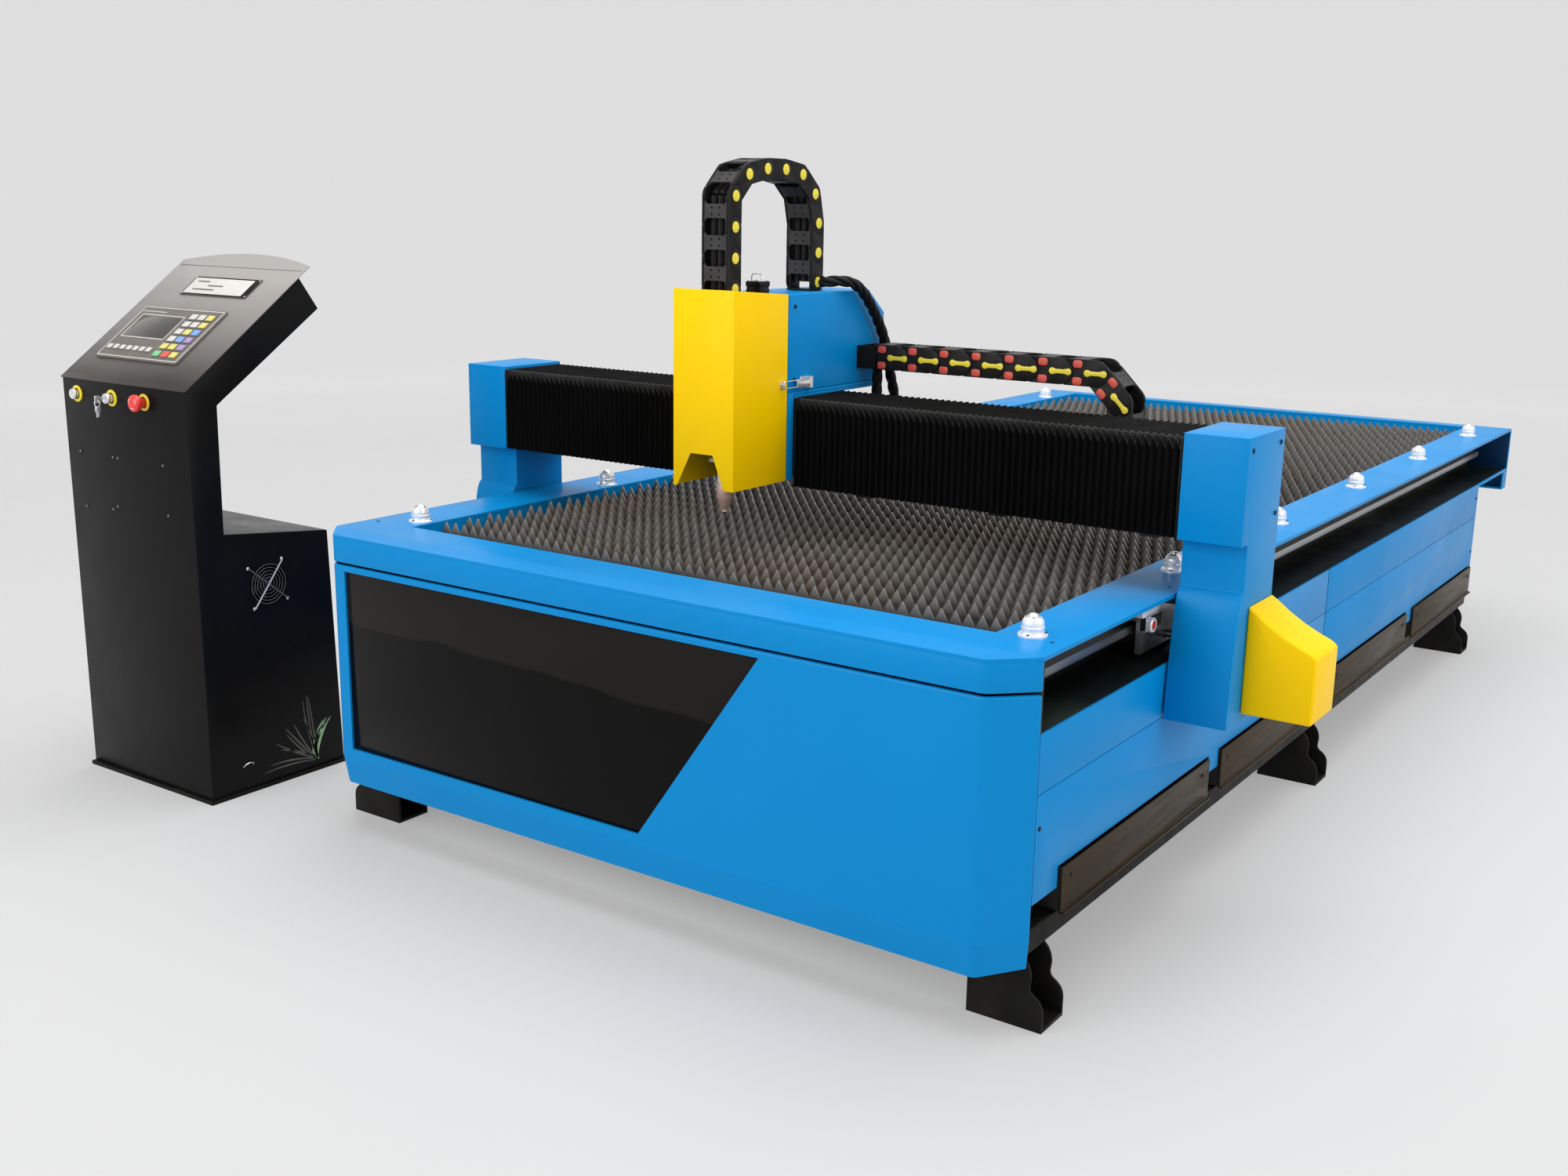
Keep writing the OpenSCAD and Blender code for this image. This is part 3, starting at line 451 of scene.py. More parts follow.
# Lighter grey along the pleats' top front edge: the edging, and a painted highlight where light catches it.
CLOTH_EDGE_HIGHLIGHT = material("bellows_edge_highlight", (0.022, 0.021, 0.02), rough=0.55, spec=0.3, vary=0.4, vary_scale=25,
    bump=0.09, bump_scale=700)
RUBBER = material("black_rubber", (0.007, 0.007, 0.0072), rough=0.48, spec=0.2, vary=0.3, vary_scale=30,
    bump=0.06)
ALUMINIUM = material("machined_aluminium", (0.52, 0.53, 0.55), rough=0.34, metal=0.9, vary=0.06,
    vary_scale=15, bump=0.03, bump_scale=700)
CREAM = material("torch_shell", (0.70, 0.66, 0.58), vary=0.06, vary_scale=30)
COPPER = material("torch_copper", (0.72, 0.47, 0.36), rough=0.38, metal=0.5, vary=0.15, vary_scale=40,
    bump=0.05)
WHITE_PLASTIC = material("white_plastic", (0.78, 0.78, 0.76), vary=0.03, vary_scale=30)
DECAL = material("decal_grey", (0.10, 0.095, 0.08), vary=0.3, vary_scale=20, bump=0.01)
DECAL_GREEN = material("decal_green", (0.36, 0.55, 0.30), vary=0.3, vary_scale=20, bump=0.01)


# ---------------------------------------------------------------- table
HW, HL, TOP = span("bed_frame")[1]  # half width, half length and height of the table
CUT, FOLD_R = 71, 30  # slanted cut across each front corner, and the radius of its folds
SIDE_Y0 = -HL + 75  # where the side channels and the side panels begin
BX, BY0, BY1 = 750, -1720, 1831  # the bed's opening
WALL = 6  # thickness of the bed's walls
CHAN_Z = 565  # floor of the side channels
DECK_T = 8
UNDER_DECK = TOP - DECK_T + 0.1
BED_HOLE = rect(-BX, BY0, BX, BY1)
SIDES = (-1, 1)


def front_outline(y_end, seg):
    """The folded front from above, from y_end on the left side to y_end on the right side."""
    path = [(-HW, y_end), (-HW, -HL + CUT), (-HW + CUT, -HL), (HW - CUT, -HL), (HW, -HL + CUT), (HW, y_end)]
    return rounded(path, [0, FOLD_R, FOLD_R, FOLD_R, FOLD_R, 0], seg)


def inward(path, d):
    """Offsets an open path to its left by d."""
    out = []
    for k, p in enumerate(path):
        a, b = Vector(path[max(k - 1, 0)]), Vector(path[min(k + 1, len(path) - 1)])
        t = (b - a).normalized()
        out.append((p[0] - t.y * d, p[1] + t.x * d))
    return out


s = Shape()
corners = [(-HW, HL), (-HW, -HL + CUT), (-HW + CUT, -HL), (HW - CUT, -HL), (HW, -HL + CUT), (HW, HL)]
deck = rounded(corners, [4, FOLD_R, FOLD_R, FOLD_R, FOLD_R, 4], 6)
s.prism(deck, "z", TOP - DECK_T, TOP, 0, bevel=3.2, seg=3, holes=[BED_HOLE])
front = front_outline(SIDE_Y0, 6)
s.prism(front + inward(front, WALL)[::-1], "z", TOP - 60, UNDER_DECK, 0, bevel=1.2, angle=50)
s.prism(rect(-BX - WALL, BY0 - WALL, BX + WALL, BY1 + WALL), "z", 553, UNDER_DECK, 0, holes=[BED_HOLE])
for sg in SIDES:
    wall, edge, end = sg * (BX + WALL), sg * (HW - 1), HL - 12
    s.box((wall, SIDE_Y0, 557), (sg * (HW - 5.2), end, CHAN_Z), 1, 1.0)
    s.box((wall + sg * 0.1, SIDE_Y0 + 6, CHAN_Z), (wall + sg * 2, end, TOP - DECK_T), 1)
    s.box((wall + sg * 2, SIDE_Y0, CHAN_Z), (edge, SIDE_Y0 + 6, TOP - DECK_T), 1)
    s.box((wall + sg * 2, -1700, 600), (sg * (BX + 40), 1800, 680), 3, 1.5)
    # A thin dark blue sheet on the rear cap's inner face, inside the channel: painted shade.
    s.box((wall + sg * 3, end - 1.4, CHAN_Z), (edge, end, TOP - 9), 4, 0.5)
    s.box((sg * (HW - 5.1), 1456, 556.6), (sg * HW, end - 1, CHAN_Z + 1.4), 0, 0.6)
    for y in (-1722, -1190):
        s.prism(ring_of(sg * 861, y, 4.5, 16), "z", TOP, TOP + 1, 2, bevel=0.4)
piece("table_deck", s, "table", [BLUE, CHANNEL, BLACK_PLASTIC, STRIP, SHADE_BLUE],
      ["bed_frame"], 40)

# front panel: one folded skin round the front, with the slanted window cut in it. rows is its section,
# as (distance inward, height): the lip below, the face, the turned top edge and the back.
PZ1, FOLD_Z, LIP_Z, SKIN = TOP - 66, 185, 120, 5.2
rows = [(11, LIP_Z), (0, FOLD_Z), (0, PZ1 - 5), (1.4, PZ1 - 1.5), (5, PZ1), (SKIN, PZ1 - 1),
        (SKIN, FOLD_Z + 1),
        (15.5, LIP_Z)]
FACE_ROW, BACK_ROW = 1, 5
skin = front_outline(SIDE_Y0 - 1, 12)
window = [(-787, 625), (353, 625), (61, 208), (-787, 208)]
verts, faces = [], []
middle = next(k for k in range(len(skin) - 1) if skin[k + 1][0] - skin[k][0] > 1000)
for k, p in enumerate(skin):
    a, b = Vector(skin[max(k - 1, 0)]), Vector(skin[min(k + 1, len(skin) - 1)])
    t = (b - a).normalized()
    round_corner = abs(p[1] + HL) >= 1.5
    for d, z in rows:
        if z == LIP_Z and round_corner:  # the lip flattens and rises toward the sides
            u = min(1.0, max(0.0, (p[1] + HL) / CUT))
            d, z = d - 8 * u, LIP_Z + 5 * u + 50 * max(0.0, u - 0.8)
        verts.append((p[0] - t.y * d, p[1] + t.x * d, z))
n = len(rows)
for k in range(len(skin) - 1):
    for r in range(n):
        if k != middle or r not in (FACE_ROW, BACK_ROW):
            q = (r + 1) % n
            faces.append((k * n + r, k * n + q, (k + 1) * n + q, (k + 1) * n + r))
faces += [list(range(n)), list(range((len(skin) - 1) * n, len(skin) * n))]
for r, y in ((FACE_ROW, -HL), (BACK_ROW, -HL + SKIN)):
    near, far = middle * n, (middle + 1) * n
    loop = [near + r, far + r, far + r + 1, near + r + 1]
    start = len(verts)
    verts += [(x, y, z) for x, z in window]
    index = loop + [start + m for m in range(4)]
    flat = [[Vector((verts[i][0], verts[i][2], 0)) for i in part] for part in (loop, index[4:])]
    faces += [[index[q] for q in tri] for tri in tessellate_polygon(flat)]
w0, w1 = start - 4, start
faces += [(w0 + m, w0 + (m + 1) % 4, w1 + (m + 1) % 4, w1 + m) for m in range(4)]
s = Shape()
s.take(verts, faces, 0)
for sg in SIDES:
    s.lathe(head(4.6, 1.2, 3.2, 2.2, 2.4), (sg * HW, SIDE_Y0 + 16, 392), "x", 16, 1, flip=sg)
piece("front_skin", s, "table", [BLUE, BLACK_PLASTIC], ["front_panel"], 6)

# front window
s = Shape()
grown = [(-799, 637), (372, 637), (68, 196), (-799, 196)]
s.prism(grown, "y", -HL + 5.4, -HL + 9, 0, bevel=0.8)
piece("window_sheet", s, "table", [GLOSS_BLACK], ["front_window"])

# side panels
s = Shape()
SEAM_Y, SIDE_Y1 = -188, 1455  # the seam between the two lengths of panel, and their far end
SIDE_Z0, SIDE_SEAM, SIDE_Z1 = 252, 456, 566.4  # bottom, seam and top of the panels
DR_Y0, DR_P, DR_W, DR_TOP = -1704, 805, 731, 292  # first drawer, spacing, width, top of its cut-out
for sg in SIDES:
    for y0, y1 in ((SIDE_Y0 + 2, SEAM_Y - 3), (SEAM_Y + 3, SIDE_Y1)):
        xa, xb, low_top = sg * (HW - 5), sg * HW, SIDE_SEAM - 1.4
        s.prism(rect(y0, SIDE_SEAM, y1, SIDE_Z1), "x", xa, xb, 0, bevel=0.9)
        s.box((xa, y0 + 2, SIDE_SEAM - 8), (sg * (HW - 2), y1 - 2, SIDE_SEAM + 6), 0)
        if sg < 0:
            low = rect(y0, SIDE_Z0, y1, low_top)
        else:
            low, y = [(y0, low_top)], y0
            cuts = [(DR_Y0 + i * DR_P - 8, DR_Y0 + i * DR_P + DR_W + 8) for i in range(4)]
            for c0, c1 in cuts:
                if c1 < y0 or c0 > y1:
                    continue
                a, b = max(c0, y0), min(c1, y1)
                if a > y:
                    low += [(y, SIDE_Z0), (a, SIDE_Z0)]
                low += [(a, DR_TOP), (b, DR_TOP)]
                y = b
            if y < y1:
                low += [(y, SIDE_Z0), (y1, SIDE_Z0)]
            low.append((y1, low_top))
        s.prism(low, "x", xa, xb, 0, bevel=0.7)
    for y, z in ((SIDE_Y1 - 20, 520), (SIDE_Y1 - 20, 340)):
        s.lathe(head(4.4, 1.5, 3, 2.4, 2.5), (sg * HW, y, z), "x", 14, 1, flip=sg)
piece("side_sheets", s, "table", [BLUE, BLACK_PLASTIC], ["side_panels"])

# plate across the far end
s = Shape()
s.box((-HW, HL - 11, 496), (HW, HL, TOP - 9), 0, 2.2, 3)
s.box((-HW, HL - 60, 496), (HW, HL - 10.9, 502), 0, 1)
for sg in SIDES:
    s.box((sg * (HW - 5), HL - 60, 501.9), (sg * HW, HL - 10.9, 556), 0, 1)
    for x in (300, 840):
        s.lathe(head(7, 1.4, 5, 2, 2), (sg * x, HL - 2, 600), "y", 16, 1)
piece("far_end_plate", s, "table", [BLUE, BLACK_PLASTIC], ["rear_cap"])

# welded frame under the bed
s = Shape()
FRAMES = (-1790, -948, -143, 662, 1460)  # places of the cross frames along the table
for sg in SIDES:
    s.box((sg * 800, -1812, 150), (sg * 882, 1480, 196), 0, 4, 3)
    for y in FRAMES:
        s.box((sg * 812, y - 20, 194), (sg * 862, y + 20, 557), 0, 3)
        for dy in (-20, 20):
            s.sweep([(sg * 812, y + dy, 196.5), (sg * 837, y + dy * 1.02, 197), (sg * 862, y + dy, 196.5)],
                    [(2.5, 0), (0, 2.5), (-2.5, 0), (0, -2.5)], 0)
for y in FRAMES:
    s.box((-801, y - 20, 150), (801, y + 20, 190), 0, 3)
    if abs(y) < 1400:
        s.box((-800, y - 30, 189.9), (800, y + 30, 196), 0, 1)
for y in (-1790, 1460):
    s.box((-813, y - 20, 520), (813, y + 20, 552), 0, 3)
piece("welded_frame", s, "table", [BLACK_PAINT], ["base_frame"])

# feet: two cheeks with a wavy outer edge on a floor plate, and a bolt through the plate
s = Shape()
FOOT_X, FOOT_YS, FOOT_Z = 834, (-1742, -157, 1415), 150
INNER, OUTER, HALF, CHEEK_T, PLATE_T = 76, 77, 44.5, 6, 8
wave_edge = [(OUTER, 0), (OUTER, 38), (75.5, 48), (71, 57), (63, 65), (55, 70), (50.5, 75), (49, 82),
             (50, 90),
             (51, 98), (50.5, 107), (48, 117), (43, 127), (35, 136), (26, 142), (16, 146), (4, FOOT_Z)]
cheek = wave_edge + [(-INNER, FOOT_Z), (-INNER, 0)]
for sg in SIDES:
    for fy in FOOT_YS:
        outline, inside = [(sg * (x + FOOT_X), z) for x, z in cheek], HALF - CHEEK_T + 0.1
        for e in (-1, 1):
            s.prism(outline, "y", fy + e * (HALF - CHEEK_T), fy + e * HALF, 0, bevel=1.0, angle=20)
        x0, x1 = sg * (FOOT_X - INNER), sg * (FOOT_X + OUTER)
        s.prism(rect(x0, fy - inside, x1, fy + inside), "z", 0, PLATE_T, 0, bevel=1.0,
                holes=[ring_of(sg * FOOT_X, fy, 9, 20)])
        s.box((sg * (FOOT_X - 34), fy - inside, FOOT_Z - 8), (sg * (FOOT_X + 24), fy + inside, FOOT_Z), 0, 1)
        bolt = [(0, 0), (14, 0), (14, 2), (11, 2.2), (11, 9), (9, 11), (0, 11)]
        s.lathe([(r, PLATE_T + h) for r, h in bolt], (sg * FOOT_X, fy, 0), "z", 6, 1)
piece("floor_feet", s, "table", [BLACK_PAINT, DARK_STEEL], ["feet"])

# ball transfer units
s, balls = Shape(), Shape()
UNIT_X, UNIT_LEFT, UNIT_SHIFT = 812, -782, 36  # right row, left row, and how far the left row is shifted
UNIT_Y0, UNIT_PITCH, UNITS, BALL_R, BALL_Z = -1700, 657, 6, 14.9, 27
cup = [(0, 0), (27, 0), (27, 3.2), (25.5, 5), (20.8, 5.6), (20, 8), (20, 13), (21.2, 14), (21.2, 17),
       (20, 18),
       (20, 25), (19, 28.5), (15.4, 34), (14.6, 34), (13.6, 31), (0, 31)]
for sg in SIDES:
    for k in range(UNITS):
        x, y = (UNIT_X if sg > 0 else UNIT_LEFT), UNIT_Y0 + UNIT_PITCH * k + (0 if sg > 0 else UNIT_SHIFT)
        s.lathe(cup, (x, y, TOP), "z", 32, 0)
        dome = polar(0, BALL_Z, BALL_R, (-10, 5, 18, 30, 42, 54, 66, 78)) + [(0, BALL_Z + BALL_R)]
        balls.lathe(dome, (x, y, TOP), "z", 28, 0)
        for a in (0.6, 2.7, 4.8):
            rivet = (x + 23.6 * math.cos(a), y + 23.6 * math.sin(a), TOP)
            s.lathe([(0, 5), (2.6, 5), (2.6, 6.8), (0, 7)], rivet, "z", 6, 1)
piece("ball_unit_cups", s, "table", [WHITE_METAL, DARK_STEEL], ["ball_unit_housings"])
piece("ball_unit_balls", balls, "table", [ZINC], ["transfer_balls"])

# slats with sawn teeth
s = Shape()
SLATS, SLAT_Y0, SLAT_PITCH, SLAT_T, TEETH = 49, -1630, 70, 4, 52
SLAT_Z0, ROOT_Z, TIP_Z, TIP_HALF = 605, 679, 705, 0.5
x0, x1 = -BX + 3, BX - 3
pitch = (x1 - x0) / TEETH
for i in range(SLATS):
    y = SLAT_Y0 + i * SLAT_PITCH
    shift, lean = RNG.uniform(-0.15, 0.15), RNG.uniform(-0.8, 0.8)
    verts, faces = [], []
    for t in range(TEETH + 1):
        x = x0 + t * pitch
        verts += [(x, y, SLAT_Z0), (x, y + SLAT_T, SLAT_Z0)]
    base = len(verts)
    for t in range(TEETH + 1):
        x, z = x0 + t * pitch, ROOT_Z + RNG.uniform(-1, 1)
        verts += [(x, y + lean, z), (x, y + SLAT_T + lean, z)]
    tips, ya, yb = len(verts), y + lean * 1.3, y + SLAT_T + lean * 1.3
    for t in range(TEETH):
        x = x0 + (t + 0.5 + shift * 0.4 + RNG.uniform(-0.04, 0.04)) * pitch
        z = min(TIP_Z - abs(RNG.gauss(0, 0.9)), TIP_Z - 0.1)
        verts += [(px, py, z) for px, py in rect(x - TIP_HALF, ya, x + TIP_HALF, yb)]
    for t in range(TEETH):
        b0, b1, b2, b3 = 2 * t, 2 * t + 1, 2 * t + 3, 2 * t + 2
        v0, v1, v2, v3 = base + b0, base + b1, base + b2, base + b3
        a, b, c, d = (tips + 4 * t + m for m in range(4))
        faces += [(b0, b3, b2, b1), (b0, v0, v3, b3), (b1, b2, v2, v1), (v0, a, b, v3), (v1, v2, c, d),
                  (v0, v1, d, a), (v3, b, c, v2), (a, d, c, b)]
    faces += [(0, 1, base + 1, base), (2 * TEETH, base + 2 * TEETH, base + 2 * TEETH + 1, 2 * TEETH + 1)]
    s.take(verts, faces, 0)
piece("slat_bars", s, "table", [SLAT], ["slats"], 20)

# side rails with their end stops
s = Shape()
RAIL_X, RAIL_Z = 790, 652
rail = [(0, 0), (18, 0), (18, 5), (15.2, 7.5), (15.2, 12), (18, 14.5), (18, 18.6), (16.6, 20), (1.4, 20),
        (0, 18.6),
        (0, 14.5), (2.8, 12), (2.8, 7.5), (0, 5)]
for sg in SIDES:
    s.prism([(sg * (RAIL_X + a), RAIL_Z + b) for a, b in rail], "y", -1690, 1790, 0, bevel=0.3, seg=1)
    s.box((sg * (RAIL_X + 1), -1694, RAIL_Z - 2), (sg * (RAIL_X + 22), -1672, RAIL_Z + 22), 2, 1.5)
    s.box((sg * (RAIL_X + 1), 1782, RAIL_Z - 2), (sg * (RAIL_X + 22), 1794, RAIL_Z + 22), 1, 1.5)
piece("side_rails", s, "table", [STEEL, ALUMINIUM, BRASS], ["y_rails"])

# side racks: the pinion's 24 teeth on a pitch radius of 18 mm give the spacing
s = Shape()
TOOTH, RACK_Y0, RACK_Y1, CREST, ROOT = 2 * math.pi * 18 / 24, -1680, 1780, 612.6, 617
teeth = int((RACK_Y1 - RACK_Y0) / TOOTH)
outline = [(RACK_Y1, 630), (RACK_Y0, 630), (RACK_Y0, ROOT)]
for k in range(teeth):
    y = RACK_Y0 + k * TOOTH
    outline += [(y + 0.5, ROOT + 0.2), (y + 1.5, CREST), (y + TOOTH - 1.5, CREST),
                (y + TOOTH - 0.5, ROOT + 0.2)]
outline += [(RACK_Y1, ROOT)]
for sg in SIDES:
    s.prism(outline, "x", sg * RAIL_X, sg * (RAIL_X + 22), 0)
piece("side_racks", s, "table", [STEEL], ["y_racks"])

# slag drawers: a thin tray behind a folded front with a rolled lower lip
FRONT = HW + 2
lip = [(0, 199), (11.2, 199), (12, 200), (12, 201.6), (10.6, 202.8), (5.5, 202.8), (4, 204.2), (4, 285.5),
       (3.4, 287.6), (2, 288), (0.4, 287.4), (0, 285.5)]
for i in range(4):
    s = Shape()
    y0, y1 = DR_Y0 + i * DR_P, DR_Y0 + i * DR_P + DR_W
    back = FRONT - 1560
    s.box((back, y0 + 4, 202), (FRONT, y1 - 4, 205), 1, 0.5)
    for ya, yb in ((y0 + 4, y0 + 7), (y1 - 7, y1 - 4)):
        s.box((back, ya, 204.9), (FRONT, yb, 287), 1, 0.6)
    s.box((back, y0 + 6.9, 204.9), (back + 3, y1 - 6.9, 287), 1, 0.6)
    s.prism([(FRONT + x, z) for x, z in lip], "y", y0, y1, 0, bevel=0.5)
    for y in (y0 + 40, y1 - 40):
        s.lathe(head(5, 1.4, 3, 2, 2), (FRONT + 4, y, 262), "x", 12, 2)
    piece(f"slag_tray_{i + 1}", s, f"drawer_{i + 1}", [BRONZE, DARK_STEEL, BLACK_PLASTIC],
          [f"slag_drawer_{i + 1}"])

# ---------------------------------------------------------------- console
CX0, CX1, CY0, BACK_Y = -1694, -1205, -1973, -1572.4  # sides, front and service cover of the console
FAN_Y, FAN_Z = -1779, 515
profile = [(CY0, 10), (CY0, 999), (-1637, 1247), (-1584, 1171), (-1890, 961), (-1894, 655), (-1591, 620),
           (-1573, 10)]
s = Shape()
s.prism(profile, "x", CX0, CX1, 0, bevel=2.2, seg=3, blind=(ring_of(FAN_Y, FAN_Z, 50, 40), 45))
for x, z in ((-1642, 821), (-1508, 819), (-1488, 819), (-1309, 819), (-1635, 685), (-1523, 690),
             (-1503, 699),
             (-1302, 701)):
    s.lathe(head(3.2, 1.2, 2.2, 2.0, 2.1), (x, CY0, z), "y", 12, 2, flip=-1)
clip = [(CX1, -1882, 70), (CX1 + 5, -1879, 76), (CX1 + 6, -1868, 79), (CX1 + 5, -1856, 76), (CX1, -1853, 70)]
s.sweep(clip, ring_of(0, 0, 1.5, 8), 1)
s.box((CX0 + 60, BACK_Y - 2.1, 120), (CX1 - 60, BACK_Y, 580), 0, 0.8)
for z in (160, 350, 540):
    s.lathe(head(5, 2, 3, 3, 3), (CX1 - 75, BACK_Y, z), "y", 12, 1)
for z in range(200, 298, 14):
    s.box((CX0 + 150, -1573, z), (CX1 - 150, -1570.6, z + 5), 0, 0.8)
for x in (CX0 + 120, CX1 - 120):
    s.lathe([(0, 0), (20, 0), (20, 1.5), (16, 3), (0, 3)], (x, -1600, 612), "z", 20, 0)
piece("console_body", s, "table", [CONSOLE_BLACK, ZINC, DIM_ZINC], ["console_shell"])

# console base plate
s = Shape()
s.box((CX0 - 6, CY0 - 8, 0), (CX1 + 6, -1555, 9.9), 0, 2, 3)
piece("console_plinth", s, "table", [BLACK_PAINT], ["console_base"])

# fan guard: rings of thin wire, a thick bar and a thin bar across them, and their screws
s = Shape()
g0, g1 = span("fan_guard")
gx, gy, gz = ((a + b) / 2 for a, b in zip(g0, g1))
reach = min((g1[2] - g0[2]) / 2 - 4, 56)
for k in range(6):
    ring = [(gx, y, z) for y, z in ring_of(gy, gz, 8 + k * 8.2, 40)]
    s.sweep(ring, ring_of(0, 0, 0.75, 8), 1, closed=True, up=(1, 0, 0))
for a, mat, w in ((math.radians(52), 0, 1.9), (math.radians(-40), 1, 1.2)):
    scale = reach / max(abs(math.sin(a)), abs(math.cos(a)))
    dy, dz = math.cos(a) * scale, math.sin(a) * scale
    s.sweep([(gx + 0.8, gy - dy, gz - dz), (gx + 1.4, gy, gz), (gx + 0.8, gy + dy, gz + dz)],
            ring_of(0, 0, w, 10), mat, up=(1, 0, 0))
    for q in (-1, 1):
        s.lathe(head(4, 1.6, 2.6, 2.6, 2.6), (CX1, gy + q * dy, gz + q * dz), "x", 14, 0)
piece("fan_wire_guard", s, "table", [ZINC, DIM_ZINC], ["fan_guard"])

# generic leaf decal on the console's side: thin curved blades that fan out from one tuft
s = Shape()
TUFT_Y, TUFT_Z, EDGE_Y, BLADES, GREEN_BLADES = -1664, 34, -1585, 17, 6
for k in range(BLADES):
    green = k < GREEN_BLADES
    a = math.radians((78 if green else 48) + k * 7.6 + RNG.uniform(-5, 5))
    length = RNG.uniform(70, 118) if green else RNG.uniform(110, 175)
    bend = RNG.uniform(-1.5, -0.7) if green else RNG.uniform(-0.5, 0.7)
    y, z, pts = TUFT_Y + RNG.uniform(-10, 10), TUFT_Z + RNG.uniform(-6, 6), []
    for step in range(11):
        u = step / 10
        pts.append((y, z, 0.3 + (3.2 if green else 2.0) * math.sin(math.pi * min(1, u * 0.85 + 0.1))))
        y += math.cos(a + bend * u) * length / 10
        z += math.sin(a + bend * u) * length / 10
    left, right = [], []
    for step, (y, z, w) in enumerate(pts):
        p, q = pts[max(step - 1, 0)], pts[min(step + 1, 10)]
        d = Vector((q[0] - p[0], q[1] - p[1])).normalized()
        left.append((min(y - d.y * w, EDGE_Y), z + d.x * w))
        right.append((min(y + d.y * w, EDGE_Y), z - d.x * w))
    if max(p[0] for p in pts) < EDGE_Y - 5:
        s.prism(left + right[::-1], "x", CX1 - 0.2, CX1 + 0.3, 1 if green else 0)
piece("console_leaf_decal", s, "table", [DECAL, DECAL_GREEN])

# lid and keypad lie on the slope: u runs across from the console's side, v up the slope, w out of it
SLOPE = Matrix.Translation((CX0, CY0, 999)) @ Matrix.Rotation(math.atan2(248, 336), 4, "X")
LID_W, LID_TOP, ARC_R = 492, 493, 900
arc = []
for k in range(25):
    u = LID_W - k * (LID_W + 3) / 24
    arc.append((u, LID_TOP - ARC_R + math.sqrt(ARC_R**2 - (u - (LID_W - 3) / 2) ** 2)))
s = Shape()
s.prism([(-3, -2), (LID_W, -2)] + arc, "z", 0.3, 3.2, 0, bevel=0.9, xf=SLOPE)
s.box((6, 437, 3.1), (483, 438.2, 3.4), 1, xf=SLOPE)
piece("console_lid", s, "table", [TOP_SATIN, BLACK_PLASTIC], ["console_top"])

FACE = 9.4  # height of the keypad's face over the slope


def frame_line(shape, u0, v0, u1, v1, w, height):
    outline = rounded(rect(u0, v0, u1, v1), 3)
    hole = rounded(rect(u0 + w, v0 + w, u1 - w, v1 - w), 2)
    shape.prism(outline, "z", FACE, height, 1, xf=SLOPE, holes=[hole])


s = Shape()
s.prism(rounded(rect(56, 76, 378, 268), 5), "z", 3.4, FACE + 0.1, 0, bevel=1.2, xf=SLOPE)
frame_line(s, 60, 80, 374, 264, 3, 10.3)
frame_line(s, 78, 150, 250, 236, 3, 10.6)
s.box((84, 156, FACE), (244, 230, 10.1), 2, 0.3, xf=SLOPE)
s.box((66, 246, FACE), (160, 248.5, 9.8), 1, xf=SLOPE)
for i in range(7):
    s.box((72 + i * 26, 104, FACE), (92 + i * 26, 120, 12.6), 3, 1.0, xf=SLOPE)
KEY_ROWS = [[7, 8, 4], [4, 4, 6], [3, 5, 6], [3, 4, 5], [3, 3, 4], [3, 3, 4]]  # the keys' materials
for i, row in enumerate(KEY_ROWS):
    for j, mat in enumerate(row):
        u, v = 268 + j * 32, 92 + i * 27
        s.box((u, v, FACE), (u + 27, v + 20, 12.8), mat, 1.2, xf=SLOPE)
s.prism(rounded(rect(125, 323, 383, 394), 4), "z", 3.4, 5.6, 9, bevel=0.8, xf=SLOPE)
s.box((131, 329, 5.5), (360, 388, 6.4), 3, 0.3, xf=SLOPE)
for k, (ua, ub) in enumerate(((150, 196), (204, 262), (156, 240))):
    s.box((ua, 372 - k * 15, 6.3), (ub, 377 - k * 15, 6.7), 0, xf=SLOPE)
for u, v in rect(128.5, 329, 377, 388):
    s.lathe([(0, 5.4), (2.6, 5.4), (2.6, 6.6), (0, 7)], (u, v, 0), "z", 10, 10, xf=SLOPE)
piece("keypad_panel", s, "table", [PANEL_GREY, PANEL_LINE, SCREEN, *KEYS, BLACK_PLASTIC, ZINC],
      ["controller_panel"])

# push button, key switch with two keys, and emergency stop
START_X, KEY_X, STOP_X, BZ = -1634, -1492, -1364, 963
s = Shape()
for x in (START_X, KEY_X, STOP_X):
    ring = [(13, 0), (20, 0), (20, 2.6), (18.6, 4), (14, 4), (13, 3.2), (13, 0)]
    s.lathe(ring, (x, CY0, BZ), "y", 32, 0, flip=-1)
piece("yellow_collars", s, "table", [COLLAR], ["button_collars"])
s = Shape()
s.lathe([(0, -14), (10, -14), (10, 9), (13, 10), (13, 14), (12, 15.6), (10.5, 16), (9.6, 14.8), (0, 15.2)],
        (START_X, CY0, BZ), "y", 32, 0, flip=-1)
piece("start_push", s, "start", [ZINC], ["start_button"])
s = Shape()
s.lathe([(0, -14), (10, -14), (10, 12), (13, 12.4), (13, 17), (11.4, 20), (8, 20), (7.4, 18.6), (0, 18.6)],
        (KEY_X, CY0, BZ), "y", 32, 0, flip=-1)
s.box((KEY_X - 1.2, CY0 - 34, BZ - 4.4), (KEY_X + 1.2, CY0 - 18, BZ + 4.4), 0, 0.5)
s.prism(rounded(rect(CY0 - 46, BZ - 9, CY0 - 32, BZ + 9), 4), "x", KEY_X - 1.2, KEY_X + 1.2, 0, bevel=0.5,
        holes=[ring_of(CY0 - 40.5, BZ - 4, 2.4, 14)])
ring = [(KEY_X + 2.25 * c, CY0 - 40 + 5.5 * c, BZ - 10 + 8 * d) for c, d in ring_of(0, 0, 1, 20)]
s.sweep(ring, ring_of(0, 0, 0.9, 8), 0, closed=True, up=(1, 0, 0))
